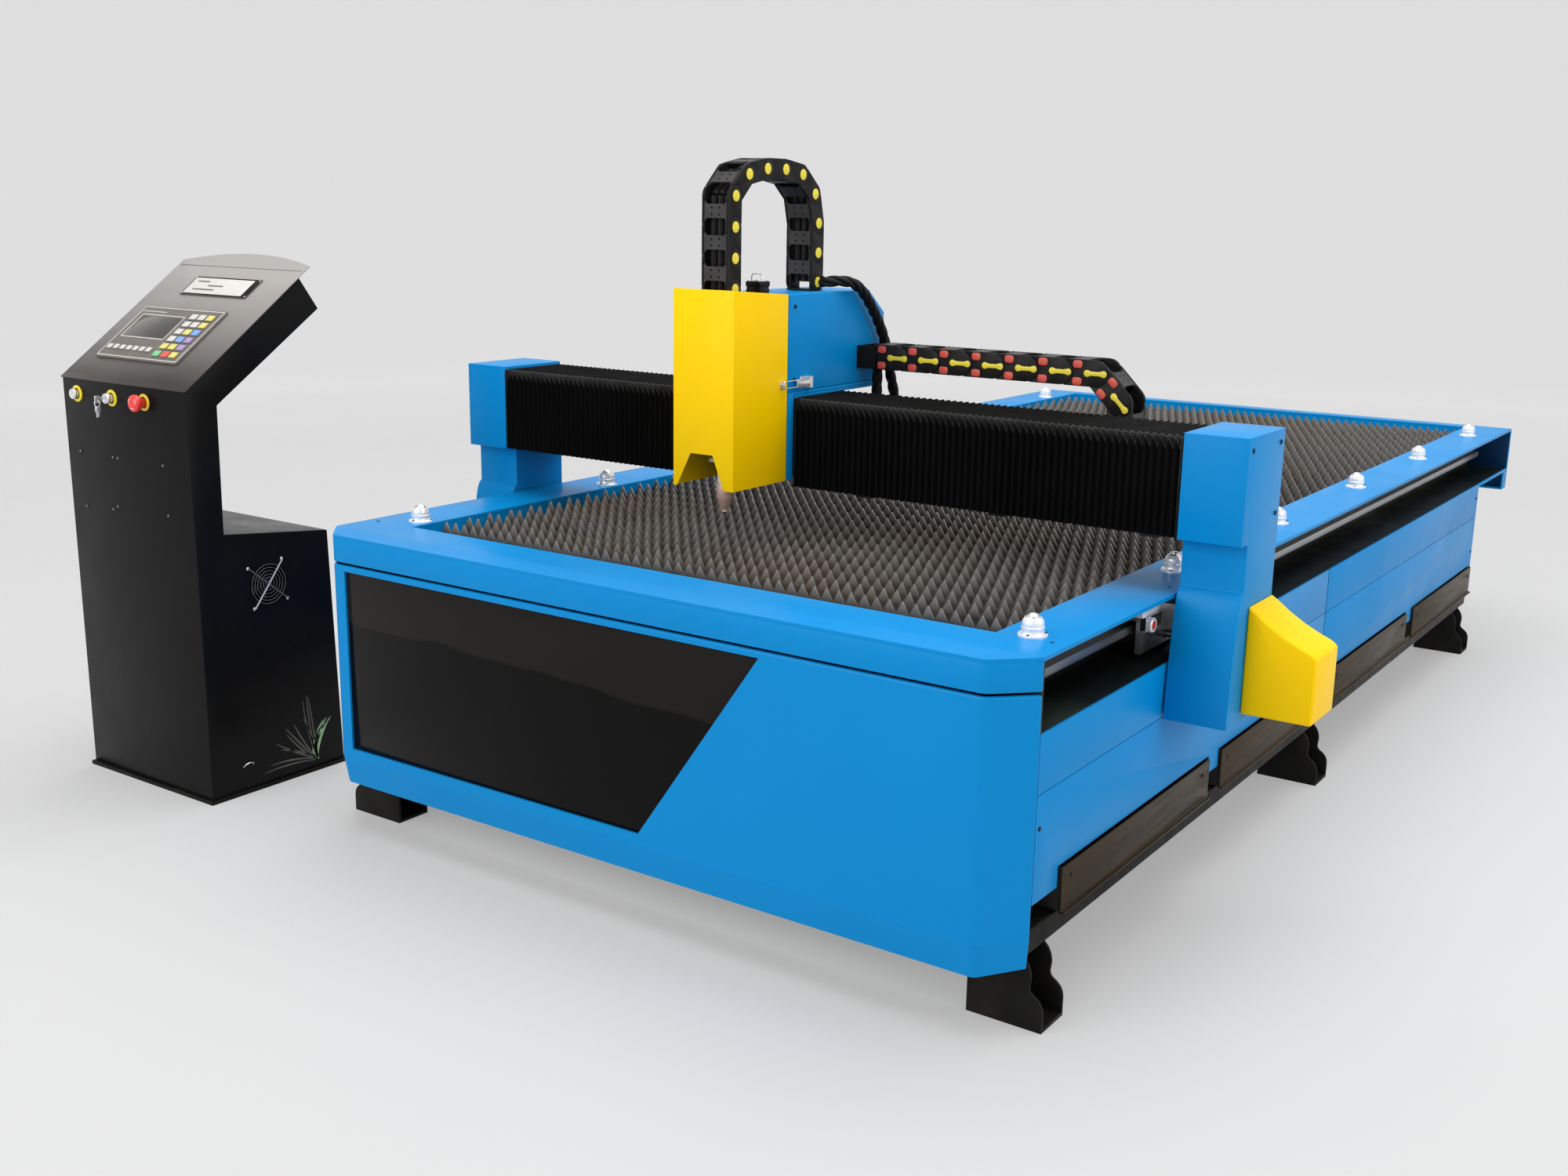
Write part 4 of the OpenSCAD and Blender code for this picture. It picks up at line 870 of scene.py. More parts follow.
for x, tip in ((KEY_X - 3.4, 13.6), (KEY_X + 2.2, 11.2)):
    s.prism(rounded(rect(CY0 - 45, BZ - 30, CY0 - 34, BZ - 17), 3), "x", x, x + 1.8, 0, bevel=0.4)
    blade = [(CY0 - 42.5, BZ - 29), (CY0 - 42.5, BZ - 29 - tip), (CY0 - 39.6, BZ - 31 - tip),
             (CY0 - 37, BZ - 29 - tip), (CY0 - 37, BZ - 29)]
    s.prism(blade, "x", x + 0.1, x + 1.7, 0, bevel=0.3)
piece("key_barrel", s, "key", [ZINC], ["key_switch"])
s = Shape()
mushroom = [(0, -14), (10, -14), (10, 14), (14, 14.2), (18.5, 18), (20, 20.5), (20, 27.5), (19, 30.6),
            (16.4, 32.6),
            (10, 33), (0, 32.6)]
s.lathe(mushroom, (STOP_X, CY0, BZ), "y", 40, 0, flip=-1)
for turn in (0, 120, 240):
    mark = polar(STOP_X, BZ, 12.5, [turn + math.degrees(0.22) * k for k in range(5)])
    s.sweep([(x, CY0 - 32.7, z) for x, z in mark], [(0.6, 0), (0, 0.9), (-0.6, 0), (0, -0.9)], 1,
            up=(0, 1, 0))
piece("stop_mushroom", s, "estop", [RED_PLASTIC, WHITE_PLASTIC], ["estop_button"])

# ---------------------------------------------------------------- gantry
PY0, PY1, PX0, PX1 = -1262, -1056, 896, 1025  # front, back, inner and outer face of the end posts
HEAD_Z0, HEAD_Z1, SKIRT_Z = 818, 1027, 455  # the post's head, and the bottom of its flared skirt
flare = [(-5, SKIRT_Z), (-1.5, 520), (2.4, 575), (7.4, 625), (12.4, 662), (16, 684), (20, 700), (25, 712),
         (30, 719), (35, 722), (35, HEAD_Z0 - 3), (32, HEAD_Z0), (0, HEAD_Z0), (0, HEAD_Z1)]
post = [(PY1, HEAD_Z1), (PY1, SKIRT_Z)] + [(PY0 + y, z) for y, z in flare]
s = Shape()
for sg in SIDES:
    s.prism(post, "x", sg * PX0, sg * PX1, 0, bevel=3.4, seg=3, angle=40)
    for y, z in ((PY0 + 24, HEAD_Z1 - 26), (PY1 - 24, HEAD_Z1 - 26), (PY1 - 24, 860)):
        s.lathe(head(5, 1.6, 3.4, 2.4, 2.4), (sg * PX1, y, z), "x", 14, 1, flip=sg)
piece("gantry_posts", s, "gantry", [BLUE, BLACK_PLASTIC], ["end_posts"], 24)

# yellow covers over the side motors
s = Shape()
MC_Y0, MC_Y1 = -1194, -1055
cover = [(0, 472), (141, 472), (141, 604), (139, 609), (126, 617), (104, 626), (72, 642), (40, 662),
         (16, 680), (0, 691)]
for sg in SIDES:
    s.prism([(sg * (PX1 + x), z) for x, z in cover], "y", MC_Y0, MC_Y1, 0, bevel=6.5, seg=4, angle=24)
    s.box((sg * PX1, MC_Y0 + 5, 478), (sg * (PX1 + 2), MC_Y1 - 5, 684), 0, 0.5)
piece("side_motor_covers", s, "gantry", [YELLOW], ["motor_covers"], 30)

# a bumper bar and a round sensor in front of each truck
s = Shape()
SENSOR_Y, SENSOR_Z = -1288, 648
for sg in SIDES:
    s.box((sg * 838, -1314, 664), (sg * 860, -1222, 678), 0, 1.5)
    s.lathe([(0, 0), (15, 0), (15, 10), (13.5, 11.5), (9.5, 11.5), (9.5, 10), (0, 10)],
            (sg * 862, SENSOR_Y, SENSOR_Z), "x", 28, 0, flip=sg)
    s.lathe([(0, 0), (9.2, 0), (9.2, 1.4), (0, 1.6)], (sg * 872, SENSOR_Y, SENSOR_Z), "x", 24, 1, flip=sg)
    s.box((sg * 848, -1300, 634), (sg * 862, -1222, 664), 2, 1)
piece("end_sensors", s, "gantry", [WHITE_METAL, RED_PLASTIC, BLACK_PLASTIC])


# pinions with teeth
def gear(shape, centre, axis, r_out, h0, h1, teeth=24, r_root=15.8):
    outline = []
    for tooth in range(teeth):
        for f, r in ((0.0, r_root), (0.18, r_root), (0.36, r_out), (0.64, r_out), (0.82, r_root)):
            outline += polar(*centre, r, [360 * (tooth + f) / teeth])
    shape.prism(outline, axis, h0, h1, 0)


s = Shape()
PIN_Y, PIN_Z, SHAFT_R = (PY0 + PY1) / 2 + 34, 592, 8
for sg in SIDES:
    gear(s, (PIN_Y, PIN_Z), "x", 19.9, sg * 793, sg * 813)
    shaft = [(0, 812.8), (SHAFT_R, 812.8), (SHAFT_R, PX1 + 32), (0, PX1 + 32)]
    s.lathe(shaft, (0, PIN_Y, PIN_Z), "x", 24, 0, flip=sg)
piece("side_pinion_gears", s, "pinions", [STEEL], ["y_pinions"])
HEAD_X, CROSS_Y = -90, -1068
s = Shape()
gear(s, (HEAD_X, CROSS_Y), "z", 19.8, 974, 990)
s.lathe([(0, 989.8), (SHAFT_R, 989.8), (SHAFT_R, 1060), (0, 1060)], (HEAD_X, CROSS_Y, 0), "z", 24, 0)
piece("cross_pinion_gear", s, "cross_pinion", [STEEL], ["x_pinion"])


# bellows
def bellows_part(x_from, pitch_x, first, count):
    """count pleats of the cover, from pleat number first. A pleat runs ridge, valley, ridge."""
    shape, flat = Shape(), pitch_x * 0.04
    rings = []  # place along X, how deep it lies, and the size of its chamfer
    for k in range(count):
        x, mid = x_from + (first + k) * pitch_x, x_from + (first + k + 0.5) * pitch_x
        rings += [(x, 0, 2.5), (x + flat, 0, 2.5), (mid - flat, 9, 13), (mid + flat, 9, 13),
                  (x + pitch_x - flat, 0, 2.5)]
    rings.append((x_from + (first + count) * pitch_x, 0, 2.5))
    verts, faces, mats = [], [], []
    foot, t = 820, 1.1
    for x, d, c in rings:
        y0, y1, z1 = PY0 + d, PY1 - d, 1020 - d
        outer = [(y0, foot), (y0, z1 - c - 6), (y0, z1 - c), (y0 + c, z1), (y0 + c + 8, z1), (y1 - c, z1),
                 (y1, z1 - c), (y1, foot)]
        inner = [(y1 - t, foot), (y1 - t, z1 - c), (y1 - c, z1 - t), (y0 + c + 8, z1 - t), (y0 + c, z1 - t),
                 (y0 + t, z1 - c), (y0 + t, z1 - c - 6), (y0 + t, foot)]
        verts += [(x, y, z) for y, z in outer + inner]
    m = len(outer) + len(inner)
    for k in range(len(rings) - 1):
        for q in range(m):
            r = (q + 1) % m
            faces.append((k * m + q, k * m + r, (k + 1) * m + r, (k + 1) * m + q))
            # Faces along the top front edge get the lighter grey: edging, and partly a painted highlight.
            mats.append(1 if q in (1, 2, 3) else 0)
    faces += [list(range(m)), list(range((len(rings) - 1) * m, len(rings) * m))]
    shape.take(verts, faces, mats + [0, 0])
    return shape


END_SHARE = 0.015  # share kept clear at each end of the shares handed to stretch


def bellows(tag, node, x_fixed, x_moving, pleats):
    """Short groups of pleats, each made as its own object."""
    ends = [1, 1, 2, 3]
    middle = pleats - 2 * sum(ends)
    parts = max(1, round(middle / 6.5))
    sizes = ends + [middle // parts + (1 if k < middle % parts else 0) for k in range(parts)] + ends[::-1]
    p, first = (x_moving - x_fixed) / pleats, 0
    for g, size in enumerate(sizes):
        shape = bellows_part(x_fixed, p, first, size)
        obj = make_object(f"{tag}_pleats_{g + 1}", shape, [CLOTH, CLOTH_EDGE_HIGHLIGHT], 10)
        f0, f1 = (END_SHARE + (1 - 2 * END_SHARE) * k / pleats for k in (first, first + size))
        stretch(obj, "gantry", "carriage", x_fixed + first * p, x_fixed + (first + size) * p, f0, f1)
        if g == 0:
            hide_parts(node)
        first += size


left, right = span("bellows_left"), span("bellows_right")
bellows("left_bellows", "bellows_left", left[0][0], left[1][0], 46)
bellows("right_bellows", "bellows_right", right[1][0], right[0][0], 58)
hoop = [(PY0 + 1, 822), (PY0 + 1, 1018), (PY1 - 1, 1018), (PY1 - 1, 822), (PY1 - 17, 822), (PY1 - 17, 1004),
        (PY0 + 17, 1004), (PY0 + 17, 822)]
for tag, body, xs in (("post_hoops", "gantry", (-895.8, 890.8)), ("head_hoops", "carriage", (-176, -8.9))):
    s = Shape()
    for x in xs:
        s.prism(hoop, "x", x, x + 5, 0, bevel=0.8)
    piece(tag, s, body, [BLACK_PLASTIC])


# ---------------------------------------------------------------- drag chains
def chain_plate(r, u0, u1, n=8):
    """Outline of a link's side plate: hollowed at the near pivot, so that the last link's round end
    fits in, and round at the far one. r is half the height."""
    far = polar(u1, 0, r, [-90 + 180 * k / n for k in range(n + 1)])
    if u0 > 0:
        return [(u0, r), (u0, -r)] + far
    g = r * 1.035
    top = math.degrees(math.acos(math.sqrt(g * g - r * r) / g))
    near = polar(0, 0, g, [top - 2 * top * k / n for k in range(n + 1)])
    return near + far


def marker_shapes(half, length, marks):
    """Coloured markers on a link's side plate, as (outline, material, bevel)."""
    if marks == "dot":
        return [(ring_of(length, 0, 12.4, 24), 2, 0.6)]
    pads = [(rounded(rect(29, v - 8.6, 52, v + 8.6), 7, 3), 1, 0.5) for v in (-half * 0.64, half * 0.64)]
    e = length
    bone = [(e - 27, 0)] + polar(e - 19, 0, 8, (200, 235, 270, 305)) + [(e - 9, -5), (e + 9, -5)]
    bone += polar(e + 19, 0, 8, (235, 270, 305, 340, 20, 55, 90, 125)) + [(e + 9, 5), (e - 9, 5)]
    bone += polar(e - 19, 0, 8, (55, 90, 125, 160))
    return pads + [(bone, 2, 0.5)]


def chain_link(shape, p0, p1, axis, w0, width, half, t, marks, trim=0.0):
    """One link from pivot p0 to pivot p1. axis is the pivots' direction, w0 and width the link's place
    and size along it, half its half height, t the thickness of a plate. marks is "bone" or "dot"."""
    d = Vector(p1) - Vector(p0)
    length = d.length
    d.normalize()
    if axis == "y":
        along, up, across, origin = (d.x, 0, d.y), (-d.y, 0, d.x), (0, 1, 0), (p0[0], w0, p0[1])
    else:
        along, up, across, origin = (0, d.x, d.y), (0, -d.y, d.x), (1, 0, 0), (w0, p0[0], p0[1])
    xf = Matrix((along + (0,), up + (0,), across + (0,), origin + (1,))).transposed()
    outer = chain_plate(half, trim, length)
    reach, r = length - half * 0.62, half * 0.97
    inner = [(reach, -r), (reach, r), (trim, r)]
    inner += [(trim - (0 if trim else r) * math.sin(q), r * math.cos(q)) for q in
              [math.radians(22 * k) for k in range(1, 8)]] + [(trim, -r)]
    for edge, sign in ((0, 1), (width, -1)):
        shape.prism(outer, "z", edge, edge + sign * t, 0, bevel=0.5, xf=xf)
        lo, hi = sorted((edge + sign * t, edge + sign * 2 * t))
        shape.prism(inner, "z", lo + 0.05, hi, 0, xf=xf)
        for outline, mat, bevel in marker_shapes(half, length, marks):
            shape.prism(outline, "z", edge, edge - sign * 1.4, mat, bevel=bevel, xf=xf)
    mid0, mid1 = length * 0.27, length * 0.73
    w0, w1, c = 2 * t, width - 2 * t, min(7, length * 0.12)
    lid = [(mid0 - c, w0), (mid1 + c, w0), (mid1 + c * 0.3, w0 + c * 0.4), (mid1, w0 + c)]
    lid += [(mid1, w1 - c), (mid1 + c * 0.3, w1 - c * 0.4), (mid1 + c, w1), (mid0 - c, w1)]
    lid += [(mid0 - c * 0.3, w1 - c * 0.4), (mid0, w1 - c), (mid0, w0 + c), (mid0 - c * 0.3, w0 + c * 0.4)]
    dents = [rect(u - 2, w - 2, u + 2, w + 2)
             for u in (length * 0.5 - 7, length * 0.5 + 7) for w in (width * 0.36, width * 0.64)]
    for v in (-1, 1):
        shape.prism(lid, "y", v * half, v * (half - 4), 3, holes=dents, xf=xf)
    for w in (0.25, 0.5, 0.75):
        shape.sweep([(0, 0, width * w), (length, 0, width * w)], ring_of(0, 0, width * 0.125, 10), 4, xf=xf)


# the chain behind the beam: two straight runs joined by a bend of three links
RUN_Z, BEND_X, BEND_R, LINK = 1096, span("x_chain_upper")[1][0], 100, 82
STEP = 2 * BEND_R * math.tan(math.radians(22.5))
CHAIN_MATS = [BLACK_PLASTIC, DOT_RED, DOT_YELLOW, CHAIN_LID, RUBBER]
corners = [(BEND_X + STEP / 2, RUN_Z), (BEND_X + BEND_R, RUN_Z - BEND_R + STEP / 2),
           (BEND_X + BEND_R, RUN_Z - BEND_R - STEP / 2), (BEND_X + STEP / 2, RUN_Z - 2 * BEND_R)]


def run_link(shape, p0, p1, trim=0.0):
    chain_link(shape, p0, p1, "y", -1000, 75, 28.5, 4, "bone", trim)


def straight_link(name, shape, holder, bend, fixed_x, xa, xb, replaces):
    """A link of a straight run between its fixed end and the bend."""
    obj = make_object(name, shape, CHAIN_MATS, 30)
    ends = [min(max(x, fixed_x), BEND_X) for x in (xa, xb)]
    shares = [(x - fixed_x) / (BEND_X - fixed_x) for x in ends]
    stretch(obj, holder, bend, *ends, max(shares[0], END_SHARE), shares[1])
    if replaces:
        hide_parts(replaces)


LINKS, UPPER_X, LOWER_X = 7, 40, 98  # links in the upper run, and where each run is held
for k in range(LINKS):
    xb = corners[0][0] - k * LINK
    xa = xb - LINK
    s = Shape()
    run_link(s, (xa, RUN_Z), (xb, RUN_Z), trim=26 if k == LINKS - 1 else 0.0)
    straight_link(f"upper_chain_link_{LINKS - k}", s, "carriage", "chain_bend_upper", UPPER_X, xa, xb,
                  "x_chain_upper" if k == 0 else None)
    if xa >= LOWER_X - 8:
        s = Shape()
        run_link(s, (xb, corners[3][1]), (xa, corners[3][1]))
        straight_link(f"lower_chain_link_{k + 1}", s, "gantry", "chain_bend_lower", LOWER_X, xa, xb,
                      "x_chain_lower" if k == 0 else None)
s = Shape()
run_link(s, corners[0], corners[1])
run_link(s, corners[1], corners[2])
piece("chain_bend_links_top", s, "chain_bend_upper", CHAIN_MATS, ["x_chain_bend_upper"], 30)
s = Shape()
run_link(s, corners[2], corners[3])
piece("chain_bend_links_low", s, "chain_bend_lower", CHAIN_MATS, ["x_chain_bend_lower"], 30)

# the upright chain, from the torch up and over to the carriage
TORCH_Y, HOLD_Y = -1432, -1118
pivots = [(TORCH_Y, 1132 + 64.5 * k) for k in range(5)] + [(-1431, 1454), (-1384, 1499), (-1318, 1511.5),
          (-1250, 1511.5), (-1184, 1502), (-1134, 1461), (HOLD_Y, 1397), (HOLD_Y, 1332), (HOLD_Y, 1267)]
s = Shape()
for p0, p1 in zip(pivots, pivots[1:]):
    chain_link(s, p0, p1, "x", -120, 72, 22.2, 3.6, "dot")
s.box((-119, -1140, 1248), (-49, -1096, 1251.5), 0, 0.8)
s.box((-116, -1136, 1250), (-109, -1100, 1286), 0, 1)
s.box((-59, -1136, 1250), (-52, -1100, 1286), 0, 1)
obj = make_object("upright_chain", s, CHAIN_MATS, 30)
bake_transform(obj)
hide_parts("z_chain")

# ---------------------------------------------------------------- carriage and head
X0, X1, HY, HOOD_Y1 = -171, -9, -1285, -888  # sides, front and back of the carriage
s = Shape()
s.box((X0, HY, 836), (X1, PY0, 1033), 0, 1.5)
s.box((X0, PY0 - 1, 1025), (X1, HOOD_Y1, 1033), 0, 1.2)
for xa in (X0, X1 - 2.6):
    s.box((xa, PY0 + 1, 1019.2), (xa + 2.6, HOOD_Y1 - 2, 1025.1), 0, 0.5)
piece("carriage_plate", s, "carriage", [BLUE], ["carriage_saddle"])
s = Shape()
house = [(HY, 1033.2), (HY, 1247), (HOOD_Y1 - 70, 1247), (HOOD_Y1, 1192), (HOOD_Y1, 1033.2)]
s.prism(house, "x", X0, X1, 0, bevel=2.6, seg=3)
for y, z in ((-1262, 1060), (-1262, 1220), (-910, 1060), (-910, 1170), (-975, 1226)):
    for sg, x in ((1, X1), (-1, X0)):
        s.lathe(head(4.6, 1.4, 3, 2.2, 2.2), (x, y, z), "x", 14, 1, flip=sg)
piece("carriage_hood", s, "carriage", [BLUE, BLACK_PLASTIC], ["carriage_housing"])

# yellow cover: a folded front with a notch for the torch, two sides and a turned-in top edge
COVER_Y, CZ0, CZ1, SHEET = -1486, 837, 1261, 3
s = Shape()
face = [(X0, CZ0), (-161, CZ0), (-124, 911), (-65, 911), (-34, CZ0), (X1, CZ0), (X1, CZ1), (X0, CZ1)]
s.prism(face, "y", COVER_Y, COVER_Y + SHEET, 0, bevel=0.9)
side = [(COVER_Y + 2, CZ0), (HY - 3, CZ0), (HY - 3, CZ1 - 14), (COVER_Y + 2, CZ1)]
for xa in (X0, X1 - SHEET):
    s.prism(side, "x", xa, xa + SHEET, 0, bevel=0.9)
for x in (X0 + 2.8, X1 - 2.8):
    fold = [(x, COVER_Y + 2.8, z) for z in (CZ0, 900, 1000, 1100, 1200, CZ1)]
    s.sweep(fold, ring_of(0, 0, 2.75, 14), 0, up=(1, 0, 0))
s.box((X0 + 1, COVER_Y + 1, CZ1 - 3), (X1 - 1, COVER_Y + 14, CZ1 - 0.4), 0, 0.8)
flange = [(COVER_Y + 13, CZ1 - 3.6), (HY - 4, CZ1 - 17.2), (HY - 4, CZ1 - 14.9), (COVER_Y + 13, CZ1 - 1.2)]
for xa, xb in ((X0 + 1, X0 + 12), (X1 - 12, X1 - 1)):
    s.prism(flange, "x", xa, xb, 0, bevel=0.6)
s.box((X1, -1318, 1044), (X1 + 3, -1300, 1060), 1, 0.6)
piece("yellow_cover", s, "cover", [YELLOW, ZINC], ["head_cover"])

# toggle latch and its base; the latch's pin is its joint's axis
LX, LY, LZ = X1 + 8.8, -1208, 1052
s = Shape()
s.box((X1, LY - 34, LZ - 13), (X1 + 3, LY + 8, LZ + 13), 0, 0.7)
for z in (LZ - 13, LZ + 10.4):
    s.box((X1 + 2.9, LY - 5, z), (LX + 4, LY + 5, z + 2.6), 0, 0.6)
s.lathe([(0, -12), (2.45, -12), (2.45, 12), (0, 12)], (LX, LY, LZ), "z", 16, 0)
for y in (LY - 28, LY - 14):
    for dz in (6.5, -6.5):
        s.lathe(head(2.6, 1, 1.4, 1.7, 1.7), (X1 + 3, y, LZ + dz), "x", 12, 1)
piece("latch_plate", s, "carriage", [ZINC, COPPER], ["latch_base"])
s = Shape()
s.lathe([(2.5, -10), (5, -10), (5, 10), (2.5, 10), (2.5, -10)], (LX, LY, LZ), "z", 24, 0)
lever = [(LX - 1, LY - 56), (LX + 2, LY - 56), (LX + 2.4, LY - 30), (LX + 2, LY - 4.6), (LX - 1, LY - 4.6)]
s.prism(rounded(lever, 0.6, 2), "z", LZ - 9, LZ + 9, 0, bevel=0.7)
turn = [(LX, LY - 101.3 - 4 * b, LZ + 3.5 + 4 * a) for a, b in polar(0, 0, 1, range(0, 91, 15))]
path = [(LX, LY - 52, LZ + 7.5), (LX, LY - 75, LZ + 7.5)] + turn
path += [(x, y, 2 * LZ - z) for x, y, z in path[::-1]]
s.sweep(path, ring_of(0, 0, 1.45, 10), 0, up=(1, 0, 0))
piece("hasp_latch", s, "latch", [ZINC], ["cover_latch"])

# lift motor over its screw, with a wire bail on top
SX, SY = -72, -1316
s = Shape()
for half, z0, z1, bevel in ((28, 1195, 1214, 2), (18, 1213.9, 1263, 1.5), (19.5, 1262.9, 1274, 2)):
    s.box((SX - half, SY - half, z0), (SX + half, SY + half, z1), 0, bevel)
for z in (1222, 1232, 1242, 1252):
    s.box((SX - 18.8, SY - 18.8, z), (SX + 18.8, SY + 18.8, z + 4), 0, 0.8)
s.box((SX - 28, SY + 27, 1195), (SX + 28, HY - 0.2, 1201), 1, 0.8)
bail = [(-14, 1273), (-14, 1284), (-11, 1289.6), (0, 1290.6), (11, 1289.6), (14, 1284), (14, 1273)]
s.sweep([(SX + x, SY - 4, z) for x, z in bail], ring_of(0, 0, 1.4, 10), 2, up=(0, 1, 0))
for x, y in ((-15, -15), (-15, 15), (15, -15), (15, 15)):
    s.lathe(head(2.4, 1.6, 1.6, 2.2, 2.2), (SX + x, SY + y, 1273.9), "z", 12, 1)
piece("lift_motor", s, "carriage", [BLACK_PLASTIC, STEEL, ZINC], ["z_motor"])
s = Shape()
thread = [(0, 872), (10, 872), (10, 880)]
for z in range(882, 1196, 5):
    thread += [(6.6, z), (7.95, z + 1.2), (7.95, z + 2.4), (6.6, z + 3.6)]
thread += [(7, 1202), (0, 1202)]
s.lathe(thread, (SX, SY, 0), "z", 24, 0)
piece("lift_screw_rod", s, "lift_screw", [STEEL], ["z_screw"])

# torch: barrel, shield cup with grooves, and the plates that hold it
TX, TY = -98, -1396
AT_TORCH = Matrix.Translation((TX, TY, 0))
s = Shape()
barrel = [(0, 836), (15.5, 836), (17, 838), (17, 876), (16.2, 878), (16.2, 884), (17, 886), (17, 1060),
          (14, 1080),
          (11, 1086), (11, 1118), (9, 1120), (0, 1120)]
s.lathe(barrel, (TX, TY, 0), "z", 36, 0)
s.lathe([(17, 868), (19.5, 868.5), (19.5, 874), (17, 875), (17, 868)], (TX, TY, 0), "z", 36, 1)
piece("torch_barrel", s, "torch", [CREAM, COPPER], ["torch_body"])
s = Shape()
cup = [(0, 835.8), (17.8, 835.8), (18, 834), (18, 806), (16.8, 803), (8.2, 779), (6, 777), (6, 773),
       (5, 772),
       (2.2, 772), (2.2, 776), (0, 776)]
s.lathe(cup, (TX, TY, 0), "z", 36, 0)
for k in range(12):
    turned = AT_TORCH @ Matrix.Rotation(2 * math.pi * k / 12, 4, "Z")
    s.box((17.4, -1.2, 812), (18, 1.2, 830), 0, 0.3, xf=turned)
piece("torch_nozzle", s, "torch", [COPPER], ["torch_cup"])
s = Shape()
bore = [ring_of(0, 0, 17.3, 28)]
s.prism(rounded(rect(-38, -26, 38, 30), 5), "z", 905, 917, 0, bevel=1.2, holes=bore, xf=AT_TORCH)
s.prism(rounded(rect(-30, -22, 30, 24), 5), "z", 884, 892, 0, bevel=1.0, holes=bore, xf=AT_TORCH)
for x in (TX - 24, TX + 24):
    s.lathe([(0, 892), (4, 892), (4, 905), (0, 905)], (x, TY + 4, 0), "z", 14, 1)
piece("torch_guard_plates", s, "torch", [WHITE_PLASTIC, ZINC])

# hose bundle: four strands wound round a core along the cord's route
HOSE = [(-47.4, -1104, 1268), (-39, -1104, 1268), (-30, -1104, 1268), (-10, -1088, 1270), (5, -1060, 1266),
        (11, -1030, 1252), (12, -1000, 1228), (11, -966, 1196), (10, -932, 1156), (10, -906, 1110),
        (10, -890, 1062), (10, -874, 1024), (11, -863, 990), (13, -870, 958), (16, -892, 944), (18, -918,
                                                                                                944),
        (20, -944, 960), (21, -958, 992), (22, -962, 1030), (24, -963, 1076)]
STRANDS, STRAND_R, WIND_R, TURN, CORE_R, BUNDLE_D = 4, 5.6, 7.2, 120, 4.2, 26


def catmull(points, steps):
    """A smooth curve through all the points."""
    pts = [Vector(p) for p in points]
    out = []
    for i in range(len(pts) - 1):
        a, b, c, d = pts[max(i - 1, 0)], pts[i], pts[i + 1], pts[min(i + 2, len(pts) - 1)]
        for k in range(steps):
            t = k / steps
            square, cube = 2 * a - 5 * b + 4 * c - d, 3 * b - a - 3 * c + d
            out.append(0.5 * (2 * b + (c - a) * t + square * t * t + cube * t**3))
    return out + [pts[-1]]


line = catmull(HOSE, 12)
s = Shape()
side = Vector((0, 0, 1))
frames_at, run = [], 0.0
for k, p in enumerate(line):
    d = (line[min(k + 1, len(line) - 1)] - line[max(k - 1, 0)]).normalized()
    side = (side - d * side.dot(d)).normalized()
    if k:
        run += (p - line[k - 1]).length
    frames_at.append((p, side.copy(), d.cross(side), run))
for j in range(STRANDS):
    strand = []
    for p, u, v, run in frames_at:
        a = 2 * math.pi * (run / TURN + j / STRANDS)
        strand.append(p + (u * math.cos(a) + v * math.sin(a)) * WIND_R)
    s.sweep(strand, ring_of(0, 0, STRAND_R, 10), 0)
s.sweep(line, ring_of(0, 0, CORE_R, 8), 0)
hose = piece("wound_hoses", s, "carriage", [RUBBER], ["hose_bundle"], 60)

# ---------------------------------------------------------------- CAD nodes that stay, with their own finish
KEPT = {
    "slat_combs": DARK_STEEL, "slag_chutes": DARK_STEEL, "fan_rotor": BLACK_PLASTIC,
    "gantry_beam": DARK_STEEL, "y_trucks": STEEL, "y_motors": BLACK_PAINT, "x_rails": STEEL, "x_rack": STEEL,
    "chain_tray": DARK_STEEL, "x_chain_bracket": BLACK_PAINT, "x_bearing_blocks": STEEL,
    "x_motor": BLACK_PAINT, "z_rails": STEEL, "torch_slide": ALUMINIUM,
}
for node, mat in KEPT.items():
    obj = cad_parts[node]
    obj.data.materials.clear()
    obj.data.materials.append(mat)
    weld = obj.modifiers.new("weld", "WELD")
    weld.merge_threshold = 0.00002  # the nodes come in with split corners
    bev = obj.modifiers.new("bevel", "BEVEL")
    bev.width, bev.segments, bev.limit_method, bev.angle_limit = 0.0009, 2, "ANGLE", math.radians(40)
    bev.use_clamp_overlap = True

# ---------------------------------------------------------------- stage, light, camera
GLOW_NEAR, GLOW_FAR = 0.30, 0.47  # the bowl's own glow, between these distances in metres
NEAR, FAR = 3.0, 9.0
FLOOR = material("pale_floor", (0.34, 0.34, 0.34), rough=0.8, spec=0.1, vary=0.01, vary_scale=1.0, bump=0.0)
nt = FLOOR.node_tree
reach = nt.nodes.new("ShaderNodeVectorMath")
reach.operation = "LENGTH"
coord = nt.nodes.new("ShaderNodeTexCoord")
glow = nt.nodes.new("ShaderNodeMapRange")
for key, val in (("From Min", NEAR), ("From Max", FAR), ("To Min", GLOW_NEAR), ("To Max", GLOW_FAR)):
    glow.inputs[key].default_value = val
nt.links.new(coord.outputs["Object"], reach.inputs[0])
nt.links.new(reach.outputs["Value"], glow.inputs["Value"])
nt.nodes["Principled BSDF"].inputs["Emission Color"].default_value = (1, 1, 1, 1)
nt.links.new(glow.outputs["Result"], nt.nodes["Principled BSDF"].inputs["Emission Strength"])

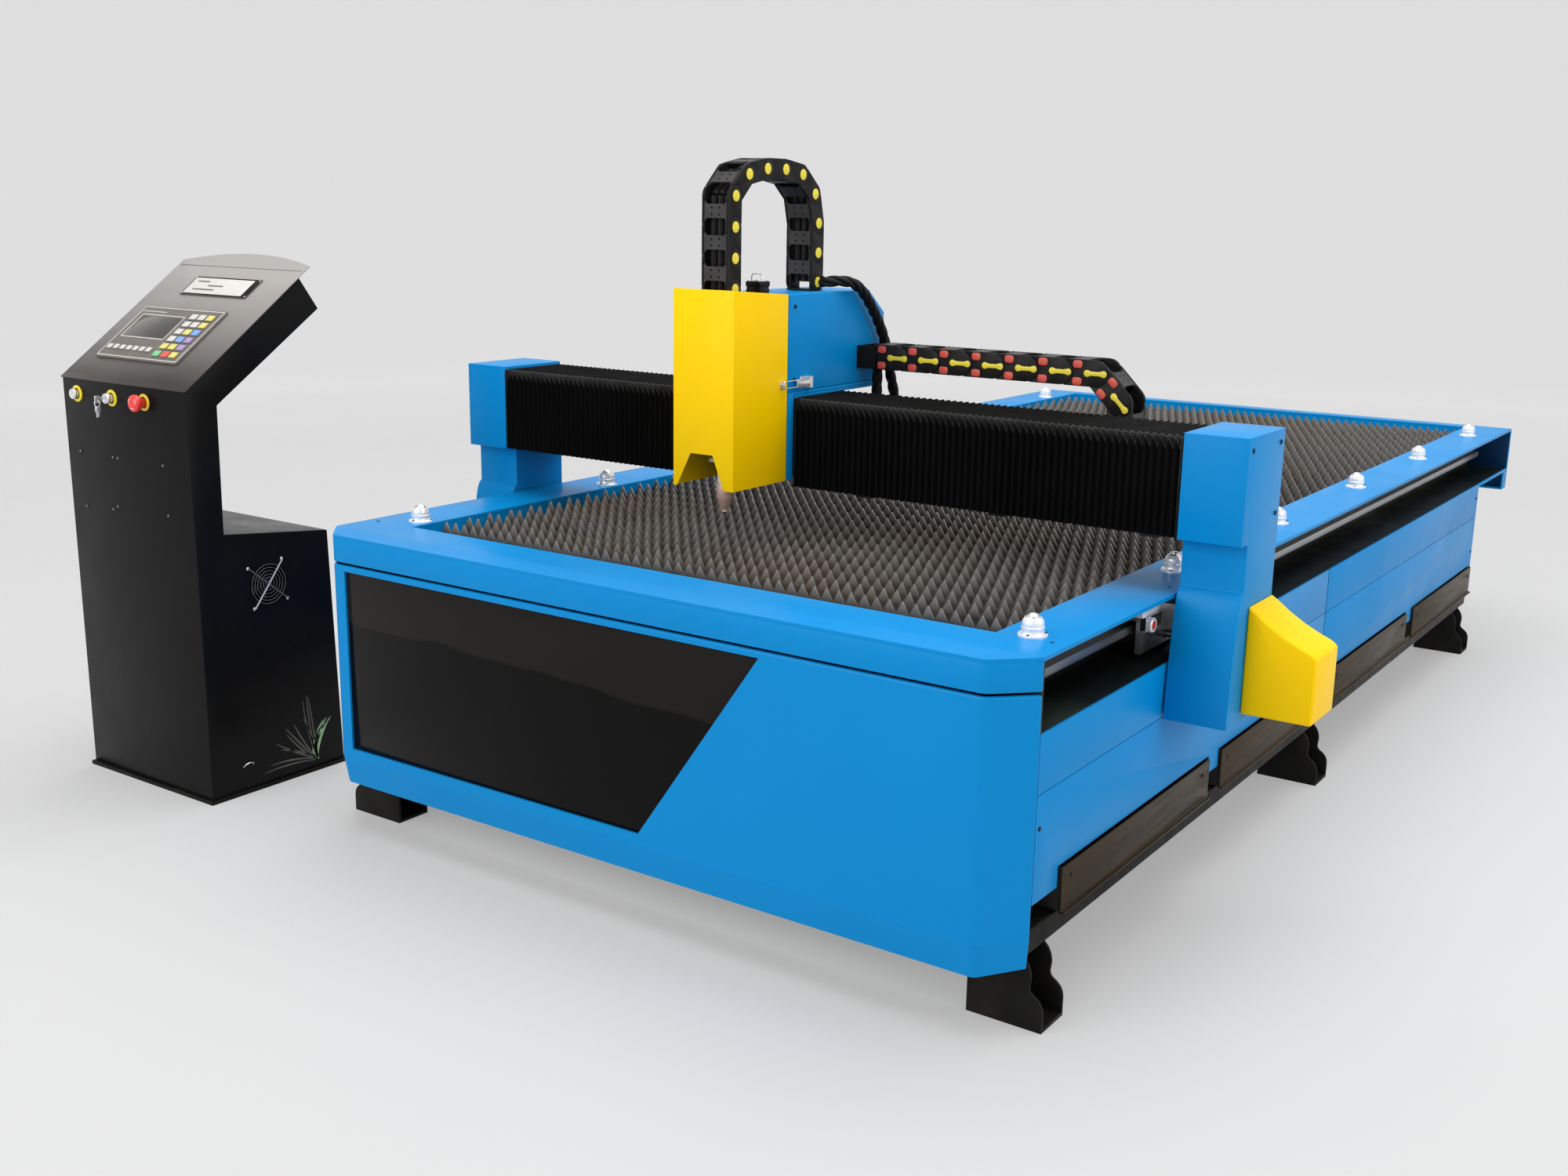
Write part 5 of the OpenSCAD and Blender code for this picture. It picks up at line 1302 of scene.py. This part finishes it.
# a round bowl: flat floor, curved up into a wall; its section is (radius, height)
FLAT_R, CURVE_R, WALL_Z, SEG = 10500, 3500, 9000, 96
section = [(3000, 0), (7000, 0)] + polar(FLAT_R, CURVE_R, CURVE_R,
                                         range(-90, 1, 6)) + [(FLAT_R + CURVE_R, WALL_Z)]
verts, faces = [(0, 0, 0)], [(0, 1 + k, 1 + (k + 1) % SEG) for k in range(SEG)]
for r, h in section:
    verts += [(x, y, h) for x, y in ring_of(0, 0, r, SEG)]
for q in range(len(section) - 1):
    a, b = 1 + q * SEG, 1 + (q + 1) * SEG
    faces += [(a + k, b + k, b + (k + 1) % SEG, a + (k + 1) % SEG) for k in range(SEG)]
me = bpy.data.meshes.new("studio_floor")
me.from_pydata([tuple(c * MM for c in v) for v in verts], [], faces)
me.materials.append(FLOOR)
me.polygons.foreach_set("use_smooth", [True] * len(me.polygons))
floor = bpy.data.objects.new("studio_floor", me)
bpy.context.scene.collection.objects.link(floor)

scene = bpy.context.scene
world = bpy.data.worlds.new("studio")
scene.world = world
world.use_nodes = True
world.node_tree.nodes["Background"].inputs["Color"].default_value = (1, 1, 1, 1)
world.node_tree.nodes["Background"].inputs["Strength"].default_value = 0.6


def area_light(name, place, target, size, power):
    data = bpy.data.lights.new(name, "AREA")
    data.shape, data.size, data.energy = "SQUARE", size, power
    obj = bpy.data.objects.new(name, data)
    bpy.context.scene.collection.objects.link(obj)
    obj.location = place
    obj.rotation_euler = (Vector(target) - Vector(place)).to_track_quat("-Z", "Y").to_euler()
    obj.visible_camera = False


area_light("overhead", (0.2, 0.4, 5.6), (0, 0.3, 0), 6.0, 330)
area_light("front_fill", (-1.5, -6.5, 3.2), (0, 0, 0.5), 4.0, 170)
area_light("side_fill", (6.0, -1.0, 3.0), (0, 0, 0.6), 4.0, 100)

camera_data = bpy.data.cameras.new("photo_camera")
camera_data.sensor_width, camera_data.lens = 36, 37.08
camera_data.shift_x, camera_data.shift_y = -0.00055, -0.0027
camera_data.clip_start, camera_data.clip_end = 0.05, 80
camera = bpy.data.objects.new("photo_camera", camera_data)
bpy.context.scene.collection.objects.link(camera)
TILT, ROLL, TURN_LEFT = 76.6656, -0.8824, 34.9155  # degrees; a tilt of 90 looks level
camera.location = (2.0202, -4.0516, 1.4448)
camera.rotation_euler = [math.radians(a) for a in (TILT, ROLL, TURN_LEFT)]
scene.camera = camera
scene.view_settings.view_transform = "Standard"
scene.view_settings.look = "None"
